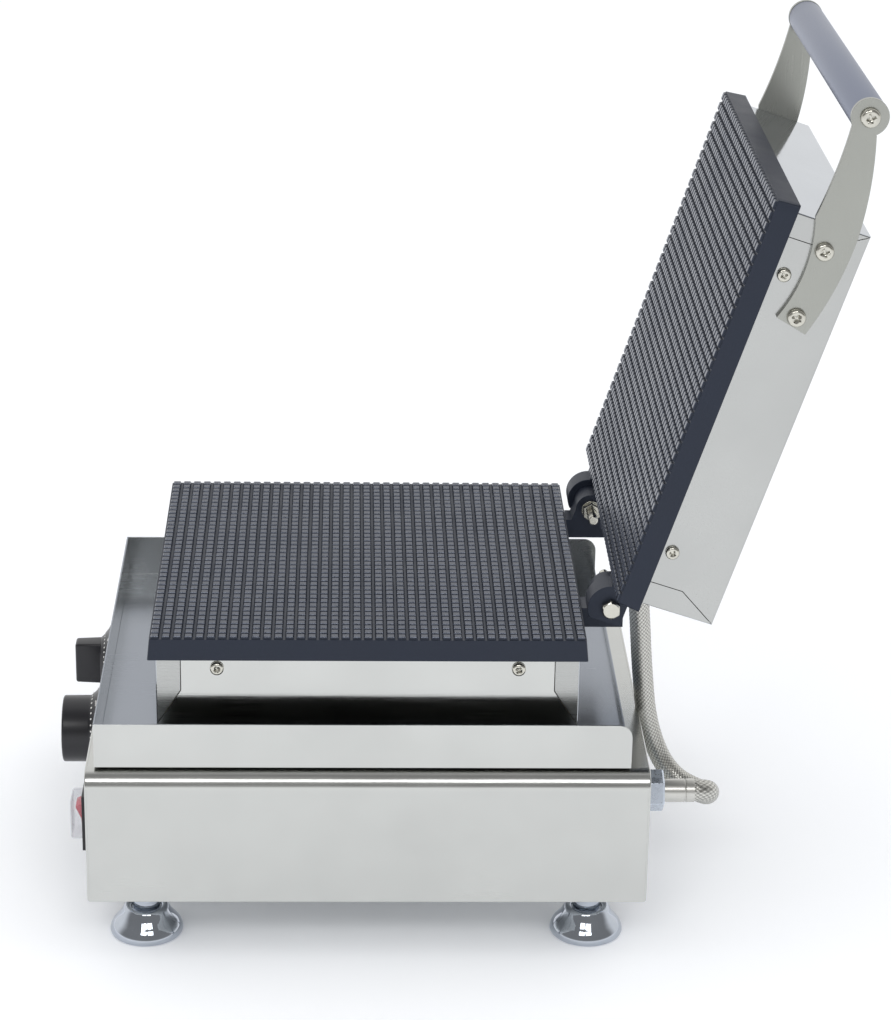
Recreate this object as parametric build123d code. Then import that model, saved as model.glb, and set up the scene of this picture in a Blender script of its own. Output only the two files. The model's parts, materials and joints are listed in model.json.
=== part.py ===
from build123d import *
from math import cos, pi, radians, sin, sqrt
import os

os.makedirs("parts", exist_ok=True)

LOW = (Align.CENTER, Align.CENTER, Align.MIN)
HIGH = (Align.CENTER, Align.CENTER, Align.MAX)

# Everything is laid out from the lower plate: x = y = 0 is its centre and
# z = 0 is the top of its ridges. The front is -Y, the hinge is at +Y.

# Baking plates
plate_face = 250.0
plate_thickness = 14.0
plate_draft = 1.2
plate_corner_radius = 3.0
ridge_count = 39
ridge_pitch = 6.4
groove_top_width = 2.6
groove_bottom_width = 0.8
groove_depth = 1.5
closed_gap = 1.0
boss_length = 14.0
boss_depth = 12.0
boss_width = 13.0

# Lid hinge
hinge_setback = 15.57
hinge_z = 6.02
lid_open_angle = 108.2
lower_lug_inner = 62.0
lower_lug_outer = 78.5
lid_lug_inner = 79.0
lid_lug_outer = 95.0
lower_knuckle_radius = 9.5
lid_knuckle_radius = 13.5
lug_edge_step = 1.0
lug_rear = 6.0
lug_corner_radius = 9.0
stop_gap = 0.3
stop_front = 11.0
stop_rear = 15.5
stop_depth = 8.0
lid_heel = 9.3
bolt_radius = 3.0
pivot_clearance = 0.08
bore_clearance = 0.04
bolt_head_across = 10.0
bolt_head_height = 4.0
bolt_end_gap = 0.3
washer_radius = 6.0
washer_thickness = 1.5
hinge_nut_height = 5.0
bolt_overhang = 13.0

# Casings around the heaters
casing_side_inset = 2.0
casing_end_inset = 3.5
casing_sheet = 1.0
lower_casing_depth = 58.5
lid_casing_depth = 43.5
flap_width = 14.0
flap_straight_depth = 20.0
lower_flap_end_depth = 41.5
seam = 0.4
casing_bend_radius = 1.5
casing_screw_offset = 86.5
casing_screw_drop = 6.0
casing_screw_radius = 2.0

# Drip tray and the body below it
tray_half_width = 143.0
tray_front = -156.6
tray_rear = 151.6
tray_height = 27.0
tray_sheet = 1.0
tray_lip_height = 6.0
tray_wall_corner_radius = 8.0
tray_gap = 1.5
body_half_width = 149.0
body_front = -162.0
body_rear = 163.0
body_height = 82.5
body_sheet = 1.2
body_bend_radius = 10.5
body_edge_radius = 0.8
body_corner_radius = 2.0
body_flange = 12.0
body_seam = 0.3
foot_height = 37.0
foot_side_inset = 34.0
foot_end_inset = 31.8
tray_bolt_offset = 95.0

# Handle
bracket_sheet = 3.0
grip_ahead = 62.4
grip_out = 26.2
grip_radius = 10.25
grip_wall = 2.0
disc_radius = 10.5
bracket_screw_points = ((-15.0, 30.4), (-54.9, 29.7))

# Controls on the front panel
control_height = 39.5
thermostat_x = -2.0
timer_x = -105.0
switch_x = 116.0
switch_height = 41.0
thermostat_projection = 25.4
timer_projection = 26.6
knob_gap = 0.8
shaft_radius = 3.0

# Flexible hose
hose_radius = 6.25
hose_gland_x = 92.0
hose_gland_z = -113.0
lid_hose_x = 54.0
lid_hose_out = 17.0

# Levels that follow from the sizes above
hinge_y = plate_face / 2 + hinge_setback
casing_width = plate_face - 2 * casing_side_inset
casing_length = plate_face - 2 * casing_end_inset
lid_front_along = hinge_y + casing_length / 2
grip_along = lid_front_along + grip_ahead
lower_rim_z = -plate_thickness
tray_floor_z = lower_rim_z - lower_casing_depth
tray_bottom_z = tray_floor_z - tray_sheet
body_top_z = tray_bottom_z - tray_gap
body_bottom_z = body_top_z - body_height
control_z = body_bottom_z + control_height
switch_z = body_bottom_z + switch_height
plate_height = foot_height - body_bottom_z
lid_face_z = closed_gap
lid_rim_z = closed_gap + plate_thickness
grip_y = hinge_y + grip_along * -cos(radians(lid_open_angle)) + grip_out * sin(radians(lid_open_angle))
grip_z = hinge_z + grip_along * sin(radians(lid_open_angle)) + grip_out * cos(radians(lid_open_angle))
front_limit = body_front - timer_projection
rear_limit = grip_y + disc_radius
plate_y = -(front_limit + rear_limit) / 2

opened = Pos(0, hinge_y, hinge_z) * Rot(-lid_open_angle, 0, 0) * Pos(0, -hinge_y, -hinge_z)
in_row_frame = Pos(0, plate_y, plate_height)


def save(name, shape):
    """Write one node at its rest position in the row frame."""
    export_step(in_row_frame * shape, f"parts/{name}.step")


def save_lid(name, shape):
    """Write a node of the lid, which is modelled closed and stored open."""
    save(name, opened * shape)


def both_sides(shape):
    return shape + mirror(shape, about=Plane.YZ)


def four_corners(shape, x, y):
    return Part() + [Pos(i * x, j * y, 0) * shape for i in (-1, 1) for j in (-1, 1)]


def facing_x(shape):
    """Turn a shape standing on Z so that it points outwards along +X."""
    return Rot(0, 90, 0) * shape


def facing_front(shape):
    """Turn a shape standing on Z so that it points out of the front panel."""
    return Rot(90, 0, 0) * shape


def facing_rear(shape):
    """Turn a shape standing on Z so that it points out of the rear panel."""
    return Rot(-90, 0, 0) * shape


def lid_point(along, out):
    """Place of a lid point in the closed lid's side view."""
    return (hinge_y - along, hinge_z + out)


def bracket_point(ahead, out):
    """Place of a bracket point, counted from the front end of the lid's casing."""
    return lid_point(lid_front_along + ahead, out)


def side_extrusion(sketch, x_start, thickness):
    """Extrude a Y-Z outline along +X from x_start."""
    return Pos(x_start, 0, 0) * extrude(Plane.YZ * sketch, amount=thickness)


def pan_screw(head_diameter, head_height, shank_diameter, shank_length):
    """Pan head standing on z = 0 with its shank below."""
    head = Cylinder(head_diameter / 2, head_height, align=LOW)
    head = fillet(head.edges().group_by(Axis.Z)[-1], head_height * 0.6)
    return head + Cylinder(shank_diameter / 2, shank_length, align=HIGH)


def hex_piece(across_flats, height, bore_radius=0.0):
    """Hexagonal head or nut standing on z = 0."""
    outline = RegularPolygon(across_flats / 2, 6, major_radius=False)
    if bore_radius:
        outline -= Circle(bore_radius)
    return extrude(outline, amount=height)


def ring(outer_radius, inner_radius, height):
    return extrude(Circle(outer_radius) - Circle(inner_radius), amount=height)


# Baking plates

def baking_plate():
    """Drafted plate with ridges along X and four screw bosses on its back."""
    back_size = plate_face + 2 * plate_draft
    face = RectangleRounded(plate_face, plate_face, plate_corner_radius)
    back = Pos(0, 0, -plate_thickness) * RectangleRounded(back_size, back_size, plate_corner_radius)
    blank = loft([face, back], ruled=True)
    groove = Polygon(
        (-groove_top_width / 2, 0),
        (groove_top_width / 2, 0),
        (groove_bottom_width / 2, -groove_depth),
        (-groove_bottom_width / 2, -groove_depth),
        align=None,
    )
    groove_count = ridge_count - 1
    grooves = Sketch() + [
        Pos((i - (groove_count - 1) / 2) * ridge_pitch, 0) * groove for i in range(groove_count)
    ]
    ridged = blank - extrude(Plane.YZ * grooves, amount=back_size, both=True)
    boss = Pos(casing_width / 2 - casing_sheet - boss_width / 2, 0, lower_rim_z)
    boss = boss * Box(boss_width, boss_length, boss_depth, align=HIGH)
    bore = Pos(casing_width / 2, 0, lower_rim_z - casing_screw_drop)
    bore = bore * Rot(0, -90, 0) * Cylinder(casing_screw_radius + bore_clearance, 14, align=LOW)
    tapped = boss - bore
    bosses = [Pos(0, j * casing_screw_offset, 0) * tapped for j in (-1, 1)]
    return ridged + both_sides(Part() + bosses)


lid_mirror = Plane.XY.offset(closed_gap / 2)

lower_plate = baking_plate()
save("lower_plate", lower_plate)
save_lid("upper_plate", mirror(lower_plate, about=lid_mirror))


# Hinge lugs and bolts

def rear_edge(z_below_face):
    """Depth of the plate's drafted rear edge at a height under its face."""
    return plate_face / 2 + plate_draft * z_below_face / plate_thickness


corner_along = hinge_y - plate_face / 2 - plate_draft
corner_out = lid_rim_z - hinge_z
turn = radians(lid_open_angle)
stop_top_z = hinge_z + corner_along * sin(turn) + corner_out * cos(turn) - stop_gap
lug_bottom = lower_rim_z + lug_edge_step
lug_top = -lug_edge_step

lower_lug_outline = Polygon(
    (rear_edge(-lug_bottom), lug_bottom),
    (hinge_y + lug_rear, lug_bottom),
    (hinge_y + lug_rear, hinge_z),
    (hinge_y - lower_knuckle_radius, hinge_z),
    (hinge_y - lower_knuckle_radius - 2.5, lug_top),
    (rear_edge(-lug_top), lug_top),
    align=None,
)
low_corner = lower_lug_outline.vertices().sort_by(lambda v: v.Y - v.X)[0]
lower_lug_outline = fillet(low_corner, lug_corner_radius)
lower_lug_outline += Pos(hinge_y, hinge_z) * Circle(lower_knuckle_radius)
lower_lug_outline += Polygon(
    (hinge_y, hinge_z),
    (hinge_y + stop_rear, stop_top_z - stop_depth),
    (hinge_y + stop_rear, stop_top_z),
    (hinge_y + stop_front, stop_top_z),
    (hinge_y, hinge_z + lower_knuckle_radius),
    align=None,
)
lower_lug_outline -= Pos(hinge_y, hinge_z) * Circle(bolt_radius + bore_clearance)
lower_lug = side_extrusion(lower_lug_outline, lower_lug_inner, lower_lug_outer - lower_lug_inner)
save("lower_hinge_lugs", both_sides(lower_lug))

web_out = lid_face_z - hinge_z + lug_edge_step
lid_back = corner_out
web_reach = sqrt(lid_knuckle_radius**2 - web_out**2)
heel_out = sqrt(lid_knuckle_radius**2 - lid_heel**2)
edge_at_web = hinge_y - rear_edge(lug_edge_step)
lid_lug_outline = make_face(
    Polyline(
        lid_point(web_reach, web_out),
        lid_point(edge_at_web, web_out),
        lid_point(corner_along, lid_back),
        lid_point(-lid_heel, lid_back),
        lid_point(-lid_heel, -heel_out),
    )
    + ThreePointArc(
        lid_point(-lid_heel, -heel_out),
        lid_point(0, -lid_knuckle_radius),
        lid_point(web_reach, web_out),
    )
)
lid_lug_outline -= Pos(hinge_y, hinge_z) * Circle(bolt_radius + pivot_clearance)
lid_lug = side_extrusion(lid_lug_outline, lid_lug_inner, lid_lug_outer - lid_lug_inner)
save_lid("upper_hinge_lugs", both_sides(lid_lug))

washer_face = lower_lug_inner - washer_thickness
nut_face = washer_face - hinge_nut_height
hinge_axis_right = Pos(0, hinge_y, hinge_z)
head_face = lid_lug_outer + bolt_end_gap
shank_length = head_face - nut_face + bolt_overhang
bolt_head = hex_piece(bolt_head_across, bolt_head_height)
hinge_bolt = bolt_head + Cylinder(bolt_radius, shank_length, align=HIGH)
hinge_bolt = chamfer(hinge_bolt.faces().sort_by(Axis.Z)[0].edges(), 0.6)
save("hinge_bolts", both_sides(hinge_axis_right * Pos(head_face, 0, 0) * facing_x(hinge_bolt)))
washer = ring(washer_radius, bolt_radius + bore_clearance, washer_thickness)
save("hinge_washers", both_sides(hinge_axis_right * Pos(washer_face, 0, 0) * facing_x(washer)))
nut = hex_piece(bolt_head_across, hinge_nut_height, bolt_radius + bore_clearance)
save("hinge_nuts", both_sides(hinge_axis_right * Pos(nut_face, 0, 0) * facing_x(nut)))


# Casings: a folded pan with two end plates whose flaps lie flush in its sides

half_length = casing_length / 2
half_width = casing_width / 2


def flap_outline(end_depth):
    """Flap of the end plate, seen from the side at the positive end."""
    return Polygon(
        (half_length, 0),
        (half_length - flap_width, 0),
        (half_length - flap_width, -flap_straight_depth),
        (half_length, -end_depth),
        align=None,
    )


def casing_pan(depth, end_depth):
    """Outer panel and both long sides, open towards z = 0."""
    inner_end = half_length - casing_sheet - seam
    side = Rectangle(casing_length, depth, align=(Align.CENTER, Align.MAX))
    cut_away = offset(flap_outline(end_depth), amount=seam, kind=Kind.INTERSECTION)
    side = side - cut_away - mirror(cut_away, about=Plane.YZ)
    right = side_extrusion(side, half_width - casing_sheet, casing_sheet)
    panel = Pos(0, 0, -depth) * Box(casing_width, 2 * inner_end, casing_sheet, align=LOW)
    pan = panel + both_sides(right)
    folds = pan.edges().filter_by(Axis.Y).group_by(Axis.Z)[0]
    folds = folds.filter_by(lambda e: abs(abs(e.center().X) - half_width) < 0.01)
    return fillet(folds, casing_bend_radius)


def casing_end(depth, end_depth):
    """End plate at the positive end with its two flaps."""
    sheet = Pos(0, half_length - casing_sheet / 2, 0)
    sheet = sheet * Box(casing_width - 2 * casing_sheet, casing_sheet, depth, align=HIGH)
    flap = side_extrusion(flap_outline(end_depth), half_width - casing_sheet, casing_sheet)
    end = sheet + both_sides(flap)
    corners = end.edges().filter_by(Axis.Z).group_by(Axis.Y)[-1]
    corners = corners.filter_by(lambda e: abs(abs(e.center().X) - half_width) < 0.01)
    return fillet(corners, casing_sheet * 0.8)


def casing_ends(depth, end_depth):
    end = casing_end(depth, end_depth)
    return end + mirror(end, about=Plane.XZ)


screw_hole = facing_x(Cylinder(casing_screw_radius + bore_clearance, casing_width + 2))
screw_holes = Part() + [
    Pos(0, j * casing_screw_offset, -casing_screw_drop) * screw_hole for j in (-1, 1)
]
wire_hole = Cylinder(8.2, 6)
tray_bolt_radius = 2.5
tray_bolt_hole = Cylinder(tray_bolt_radius + bore_clearance, 6)
floor_holes = wire_hole + four_corners(tray_bolt_hole, tray_bolt_offset, tray_bolt_offset)

lower_pan = casing_pan(lower_casing_depth, lower_flap_end_depth) - screw_holes
lower_pan -= Pos(0, 0, -lower_casing_depth) * floor_holes
save("lower_casing_pan", Pos(0, 0, lower_rim_z) * lower_pan)
save("lower_casing_ends", Pos(0, 0, lower_rim_z) * casing_ends(lower_casing_depth, lower_flap_end_depth))

lid_rim = Pos(0, 0, lid_rim_z)
lid_pan = mirror(casing_pan(lid_casing_depth, lid_casing_depth) - screw_holes, about=Plane.XY)
lid_ends = mirror(casing_ends(lid_casing_depth, lid_casing_depth), about=Plane.XY)
lid_pan = lid_rim * lid_pan
lid_ends = lid_rim * lid_ends

bracket_hole_radius = 2.5 + bore_clearance
bracket_holes = Part() + [
    Pos(0, *bracket_point(ahead, out)) * facing_x(Cylinder(bracket_hole_radius, 2 * half_width + 20))
    for ahead, out in bracket_screw_points
]
hose_hole = Pos(lid_hose_x, half_length, hinge_z + lid_hose_out)
hose_hole = hose_hole * facing_rear(Cylinder(hose_radius + 0.4, 6))
save_lid("upper_casing_pan", lid_pan - bracket_holes)
save_lid("upper_casing_ends", lid_ends - bracket_holes - hose_hole)

casing_screw = facing_x(pan_screw(8.0, 2.6, 2 * casing_screw_radius, 10.0))
side_screws = Part() + [
    Pos(half_width, j * casing_screw_offset, lower_rim_z - casing_screw_drop) * casing_screw
    for j in (-1, 1)
]
side_screws = both_sides(side_screws)
save("lower_casing_screws", side_screws)
save_lid("upper_casing_screws", mirror(side_screws, about=lid_mirror))


# Heaters and insulation inside the casings

heater_radius = 4.0
heater_z = lower_rim_z - heater_radius - 0.2
heater_outer_x = plate_face / 2 - 37.0
heater_inner_x = 30.0
heater_front = -plate_face / 2 + 25.0
heater_bend_front = -plate_face / 2 + 55.0
heater_rear = plate_face / 2 - 37.0
heater_path = FilletPolyline(
    (-heater_outer_x, heater_front, heater_z),
    (-heater_outer_x, heater_rear, heater_z),
    (-heater_inner_x, heater_rear, heater_z),
    (-heater_inner_x, heater_bend_front, heater_z),
    (heater_inner_x, heater_bend_front, heater_z),
    (heater_inner_x, heater_rear, heater_z),
    (heater_outer_x, heater_rear, heater_z),
    (heater_outer_x, heater_front, heater_z),
    radius=24,
)
heater_start = Plane(origin=(-heater_outer_x, heater_front, heater_z), z_dir=(0, 1, 0))
heater = sweep(heater_start * Circle(heater_radius), path=heater_path)
save("lower_heater", heater)
save_lid("upper_heater", mirror(heater, about=lid_mirror))

insulation_side_gap = 17.0
insulation_end_gap = 2.5
insulation_width = casing_width - 2 * (casing_sheet + insulation_side_gap)
insulation_length = casing_length - 2 * (casing_sheet + insulation_end_gap)
insulation_top_z = heater_z - heater_radius - 0.4
lower_insulation_height = insulation_top_z - (tray_floor_z + casing_sheet)
lower_insulation = Pos(0, 0, insulation_top_z)
lower_insulation = lower_insulation * Box(insulation_width, insulation_length, lower_insulation_height, align=HIGH)
lower_insulation -= Pos(0, 0, insulation_top_z + 1) * Cylinder(11, 60, align=HIGH)
bolt_pocket = Pos(0, 0, tray_floor_z) * Cylinder(10, 12, align=LOW)
lower_insulation -= four_corners(bolt_pocket, tray_bolt_offset, tray_bolt_offset)
save("lower_insulation", lower_insulation)
lid_insulation_height = lid_casing_depth - casing_sheet - (lower_rim_z - insulation_top_z)
lid_insulation = Pos(0, 0, insulation_top_z)
lid_insulation = lid_insulation * Box(insulation_width, insulation_length, lid_insulation_height, align=HIGH)
save_lid("upper_insulation", mirror(lid_insulation, about=lid_mirror))

bulb_radius = 3.0
bulb = Pos(0, 0, lower_rim_z - bulb_radius - 0.2) * Rot(90, 0, 0) * Cylinder(bulb_radius, 90)
save("thermostat_bulb", bulb)


# Handle: two sheet brackets on the lid's sides and a round grip between them

neck = make_face(
    ThreePointArc(bracket_point(55.3, 18.7), bracket_point(26.3, 20.0), bracket_point(1.6, 18.7))
    + ThreePointArc(bracket_point(1.6, 18.7), bracket_point(-31.2, 24.4), bracket_point(-58.4, 19.4))
    + Line(bracket_point(-58.4, 19.4), bracket_point(-62.7, 38.1))
    + ThreePointArc(bracket_point(-62.7, 38.1), bracket_point(-32.1, 44.2), bracket_point(-4.5, 45.4))
    + ThreePointArc(bracket_point(-4.5, 45.4), bracket_point(24.8, 41.5), bracket_point(54.2, 33.3))
    + Line(bracket_point(54.2, 33.3), bracket_point(55.3, 18.7))
)
grip_centre = lid_point(grip_along, grip_out)
bracket_outline = neck + Pos(*grip_centre) * Circle(disc_radius)
bracket_outline -= Pos(*grip_centre) * Circle(bracket_hole_radius)
for ahead, out in bracket_screw_points:
    bracket_outline -= Pos(*bracket_point(ahead, out)) * Circle(bracket_hole_radius)
bracket = side_extrusion(bracket_outline, half_width, bracket_sheet)
save_lid("handle_bracket_right", bracket)
save_lid("handle_bracket_left", mirror(bracket, about=Plane.YZ))

backing_outline = Polygon(
    bracket_point(-8.1, 25.0),
    bracket_point(-62.1, 25.0),
    bracket_point(-62.1, 36.0),
    bracket_point(-8.1, 36.0),
    align=None,
)
for ahead, out in bracket_screw_points:
    backing_outline -= Pos(*bracket_point(ahead, out)) * Circle(bracket_hole_radius)
backing = side_extrusion(backing_outline, half_width - casing_sheet - bracket_sheet, bracket_sheet)
save_lid("bracket_backing_plates", both_sides(backing))

bracket_face = half_width + bracket_sheet
large_screw = facing_x(pan_screw(10.5, 3.2, 5.0, 9.0))
bracket_screws = Part() + [
    Pos(bracket_face, *bracket_point(ahead, out)) * large_screw for ahead, out in bracket_screw_points
]
save_lid("bracket_screws", both_sides(bracket_screws))

grip_line = Pos(0, grip_centre[0], grip_centre[1])
grip_tube = Circle(grip_radius) - Circle(grip_radius - grip_wall)
save_lid("grip", grip_line * extrude(Plane.YZ * grip_tube, amount=half_width, both=True))
plug_length = 20.0
plug = ring(grip_radius - grip_wall, bracket_hole_radius, plug_length)
plug = Pos(half_width - plug_length, 0, 0) * facing_x(plug)
save_lid("grip_plugs", both_sides(grip_line * plug))
grip_screw = Pos(bracket_face, 0, 0) * facing_x(pan_screw(11.0, 3.2, 5.0, 18.0))
save_lid("grip_screws", both_sides(grip_line * grip_screw))


# Drip tray under the lower casing, held off the body by four spacers

tray_length = tray_rear - tray_front
tray_middle = (tray_rear + tray_front) / 2
tray_block = Pos(0, tray_middle, tray_bottom_z)
tray = tray_block * Box(2 * tray_half_width, tray_length, tray_height, align=LOW)
top_rear = tray.edges().filter_by(Axis.X).group_by(Axis.Z)[-1].sort_by(Axis.Y)[-1]
tray = fillet(top_rear, tray_wall_corner_radius)
inside = Pos(0, tray_middle, tray_floor_z)
inside = inside * Box(
    2 * (tray_half_width - tray_sheet), tray_length - 2 * tray_sheet, tray_height, align=LOW
)
tray -= inside
behind = Pos(0, tray_rear, tray_bottom_z + tray_lip_height)
tray -= behind * Box(2 * (tray_half_width - tray_sheet), 4 * tray_sheet, tray_height, align=LOW)
tray -= Pos(0, 0, tray_floor_z) * floor_holes
save("drip_tray", tray)

spacer = Pos(0, 0, body_top_z) * ring(9.0, tray_bolt_radius + bore_clearance, tray_gap)
save("tray_spacers", four_corners(spacer, tray_bolt_offset, tray_bolt_offset))
tray_bolt_seat = tray_floor_z + casing_sheet
tray_bolt_length = tray_bolt_seat - body_top_z + body_sheet + 6.0
tray_bolt = Pos(0, 0, tray_bolt_seat) * (
    hex_piece(8.0, 3.5) + Cylinder(tray_bolt_radius, tray_bolt_length, align=HIGH)
)
save("tray_bolts", four_corners(tray_bolt, tray_bolt_offset, tray_bolt_offset))
tray_nut_z = body_top_z - body_sheet - 4.0
tray_nut = Pos(0, 0, tray_nut_z) * hex_piece(8.0, 4.0, tray_bolt_radius + bore_clearance)
save("tray_nuts", four_corners(tray_nut, tray_bolt_offset, tray_bolt_offset))

bush_bottom = body_top_z - body_sheet - 3.0
bush_seat = tray_floor_z + casing_sheet
wire_bush = Pos(0, 0, bush_bottom) * ring(8.1, 6.0, bush_seat - bush_bottom + 2.0)
wire_bush += Pos(0, 0, bush_seat) * ring(10.0, 6.0, 2.0)
save("wire_bush", wire_bush)


# Body: a folded housing with an inward flange and a bottom plate

body_length = body_rear - body_front
body_middle = (body_rear + body_front) / 2
body_block = Pos(0, body_middle, body_bottom_z)
shell = body_block * Box(2 * body_half_width, body_length, body_height, align=LOW)
shell = fillet(shell.edges().filter_by(Axis.Y).group_by(Axis.Z)[-1], body_bend_radius)
cover_profile = shell.faces().sort_by(Axis.Y)[0]
shell = fillet(shell.edges().filter_by(Axis.X).group_by(Axis.Z)[0], body_corner_radius)
shell = fillet(shell.edges().filter_by(Axis.X).group_by(Axis.Z)[-1], body_edge_radius)
cavity = Pos(0, body_middle, body_bottom_z + body_sheet)
cavity = cavity * Box(
    2 * (body_half_width - body_sheet), body_length - 2 * body_sheet, body_height - 2 * body_sheet, align=LOW
)
cavity = fillet(cavity.edges().filter_by(Axis.Y).group_by(Axis.Z)[-1], body_bend_radius - body_sheet)
shell -= cavity
seam_profile = cover_profile - offset(cover_profile, amount=-body_seam)
seam_line = extrude(seam_profile, amount=body_seam, dir=(0, 1, 0))
shell -= Pos(0, body_sheet, 0) * seam_line
shell -= Pos(0, body_length - body_sheet - body_seam, 0) * seam_line
mouth = Pos(0, body_middle, body_bottom_z)
shell -= mouth * Box(2 * (body_half_width - body_flange), body_length - 2 * body_flange, 6)
shell -= Pos(0, 0, body_top_z) * floor_holes

thermostat_bush_radius = 5.0
timer_bush_radius = 4.0
switch_width = 22.0
switch_tall = 30.0
gland_thread_radius = 8.0
inlet_thread_radius = 8.0
inlet_height = 12.5
panel_clearance = 0.3
front_panel = Pos(0, body_front, control_z)
shell -= front_panel * Pos(thermostat_x, 0, 0) * facing_front(Cylinder(thermostat_bush_radius + 0.1, 6))
shell -= front_panel * Pos(timer_x, 0, 0) * facing_front(Cylinder(timer_bush_radius + 0.1, 6))
switch_place = Pos(switch_x, body_front, switch_z)
shell -= switch_place * Box(switch_width + panel_clearance, 6, switch_tall + panel_clearance)
hose_port = Pos(hose_gland_x, body_rear, hose_gland_z)
inlet_port = Pos(-hose_gland_x, body_rear, body_bottom_z + inlet_height)
shell -= hose_port * facing_rear(Cylinder(gland_thread_radius + 0.1, 6))
shell -= inlet_port * facing_rear(Cylinder(inlet_thread_radius + 0.1, 6))

bottom_screw_x = body_half_width - 29.0
bottom_screw_inset = body_flange / 2
bottom_screw_points = [
    (i * bottom_screw_x, y)
    for i in (-1, 0, 1)
    for y in (body_front + bottom_screw_inset, body_rear - bottom_screw_inset)
]
flange_hole = Pos(0, 0, body_bottom_z) * Cylinder(2.0 + bore_clearance, 8)
flange_holes = Part() + [Pos(x, y, 0) * flange_hole for x, y in bottom_screw_points]
save("base_shell", shell - flange_holes)

bottom_z = body_bottom_z + body_sheet
bottom = Pos(0, body_middle, bottom_z)
bottom = bottom * Box(
    2 * (body_half_width - body_sheet - 0.3), body_length - 2 * body_sheet - 0.6, casing_sheet, align=LOW
)
foot_bush_radius = 6.0
foot_x = body_half_width - foot_side_inset
foot_y = body_length / 2 - foot_end_inset
foot_rows = Pos(0, body_middle, 0)
bottom -= foot_rows * four_corners(Pos(0, 0, bottom_z) * Cylinder(foot_bush_radius + 0.05, 4), foot_x, foot_y)
vent = extrude(SlotOverall(60, 5), amount=6, both=True)
vent_places = [(i * 45.0, j * 16.0) for i in (-1, 1) for j in range(-2, 3)]
bottom -= Part() + [Pos(x, y, bottom_z) * vent for x, y in vent_places]
save("base_bottom", bottom - flange_holes)

bottom_screw = Pos(0, 0, body_bottom_z) * Rot(180, 0, 0) * pan_screw(8.0, 2.4, 4.0, 8.0)
save("bottom_screws", Part() + [Pos(x, y, 0) * bottom_screw for x, y in bottom_screw_points])


# Levelling feet

stud_radius = 4.0
stud_clearance = 0.05
bush_height = 16.0
stud_length = 18.0
bush = Pos(0, 0, body_bottom_z) * ring(10.0, stud_radius + stud_clearance, body_sheet)
bush += Pos(0, 0, bottom_z) * ring(foot_bush_radius, stud_radius + stud_clearance, bush_height)
save("foot_bushes", foot_rows * four_corners(bush, foot_x, foot_y))

foot_profile = make_face(
    Polyline((0, 0), (19.5, 0))
    + ThreePointArc((19.5, 0), (21.4, 2.0), (21.2, 5.0))
    + ThreePointArc((21.2, 5.0), (16.4, 11.6), (12.6, 18.0))
    + Polyline(
        (12.6, 18.0),
        (9.0, 18.0),
        (8.0, 16.5),
        (8.0, foot_height),
        (stud_radius, foot_height),
        (stud_radius, foot_height + stud_length),
        (0, foot_height + stud_length),
        (0, 0),
    )
)
foot = revolve(Plane.XZ * foot_profile, axis=Axis.Z)
floor_z = body_bottom_z - foot_height
foot_places = {
    "foot_front_right": (foot_x, -foot_y),
    "foot_front_left": (-foot_x, -foot_y),
    "foot_rear_right": (foot_x, foot_y),
    "foot_rear_left": (-foot_x, foot_y),
}
for name, (x, y) in foot_places.items():
    save(name, foot_rows * Pos(x, y, floor_z) * foot)


# Thermostat and timer: a unit behind the panel, a shaft and a knob

panel_inner = body_sheet
shaft_reach = 20.0


def control_unit(width, height, depth, bush_radius, x):
    """Unit behind the panel with a bush that comes through it."""
    case = Pos(0, 0, -panel_inner - 2.0) * Box(width, height, depth, align=HIGH)
    collar = Pos(0, 0, -panel_inner - 2.0) * Cylinder(bush_radius, panel_inner + 5.0, align=LOW)
    bore = Pos(0, 0, 6.0) * Cylinder(shaft_radius + stud_clearance, 24.0, align=HIGH)
    return front_panel * Pos(x, 0, 0) * facing_front(case + collar - bore)


def control_shaft(x):
    shaft = Pos(0, 0, shaft_reach) * Cylinder(shaft_radius, shaft_reach + 14.0, align=HIGH)
    return front_panel * Pos(x, 0, 0) * facing_front(shaft)


def turned_knob(profile, x):
    """Knob revolved about its shaft, with a hollow for the panel bush."""
    knob = revolve(Plane.XZ * profile, axis=Axis.Z)
    hollow = Pos(0, 0, knob_gap) * Cylinder(9.0, 6.0, align=LOW)
    bore = Cylinder(shaft_radius + 0.02, shaft_reach + 0.5, align=LOW)
    return front_panel * Pos(x, 0, 0) * facing_front(knob - hollow - bore)


save("thermostat_unit", control_unit(46, 40, 34, thermostat_bush_radius, thermostat_x))
save("thermostat_shaft", control_shaft(thermostat_x))
thermostat_profile = make_face(
    Polyline(
        (0, knob_gap),
        (27.0, knob_gap),
        (27.0, knob_gap + 1.0),
        (20.6, knob_gap + 8.0),
        (20.6, thermostat_projection - 1.0),
        (19.6, thermostat_projection),
        (0, thermostat_projection),
        (0, knob_gap),
    )
)
save("thermostat_knob", turned_knob(thermostat_profile, thermostat_x))

save("timer_unit", control_unit(42, 40, 30, timer_bush_radius, timer_x))
save("timer_shaft", control_shaft(timer_x))
timer_profile = make_face(
    Polyline((0, 9.0), (0, knob_gap), (27.0, knob_gap), (27.0, knob_gap + 1.0), (15.5, 9.0), (0, 9.0))
)
bar_width = 14.0
bar_length = 28.0
bar_base = 3.0
bar = Pos(0, 0, bar_base) * Box(bar_width, bar_length, timer_projection - bar_base, align=LOW)
bar = fillet(bar.edges().group_by(Axis.Z)[-1], 2.0)
bar -= Cylinder(9.0, 7.0, align=LOW)
bar -= Cylinder(shaft_radius + 0.02, shaft_reach + 0.5, align=LOW)
timer_bar = front_panel * Pos(timer_x, 0, 0) * facing_front(bar)
save("timer_knob", turned_knob(timer_profile, timer_x) + timer_bar)


# Rocker switch under a clear splash cap

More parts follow.
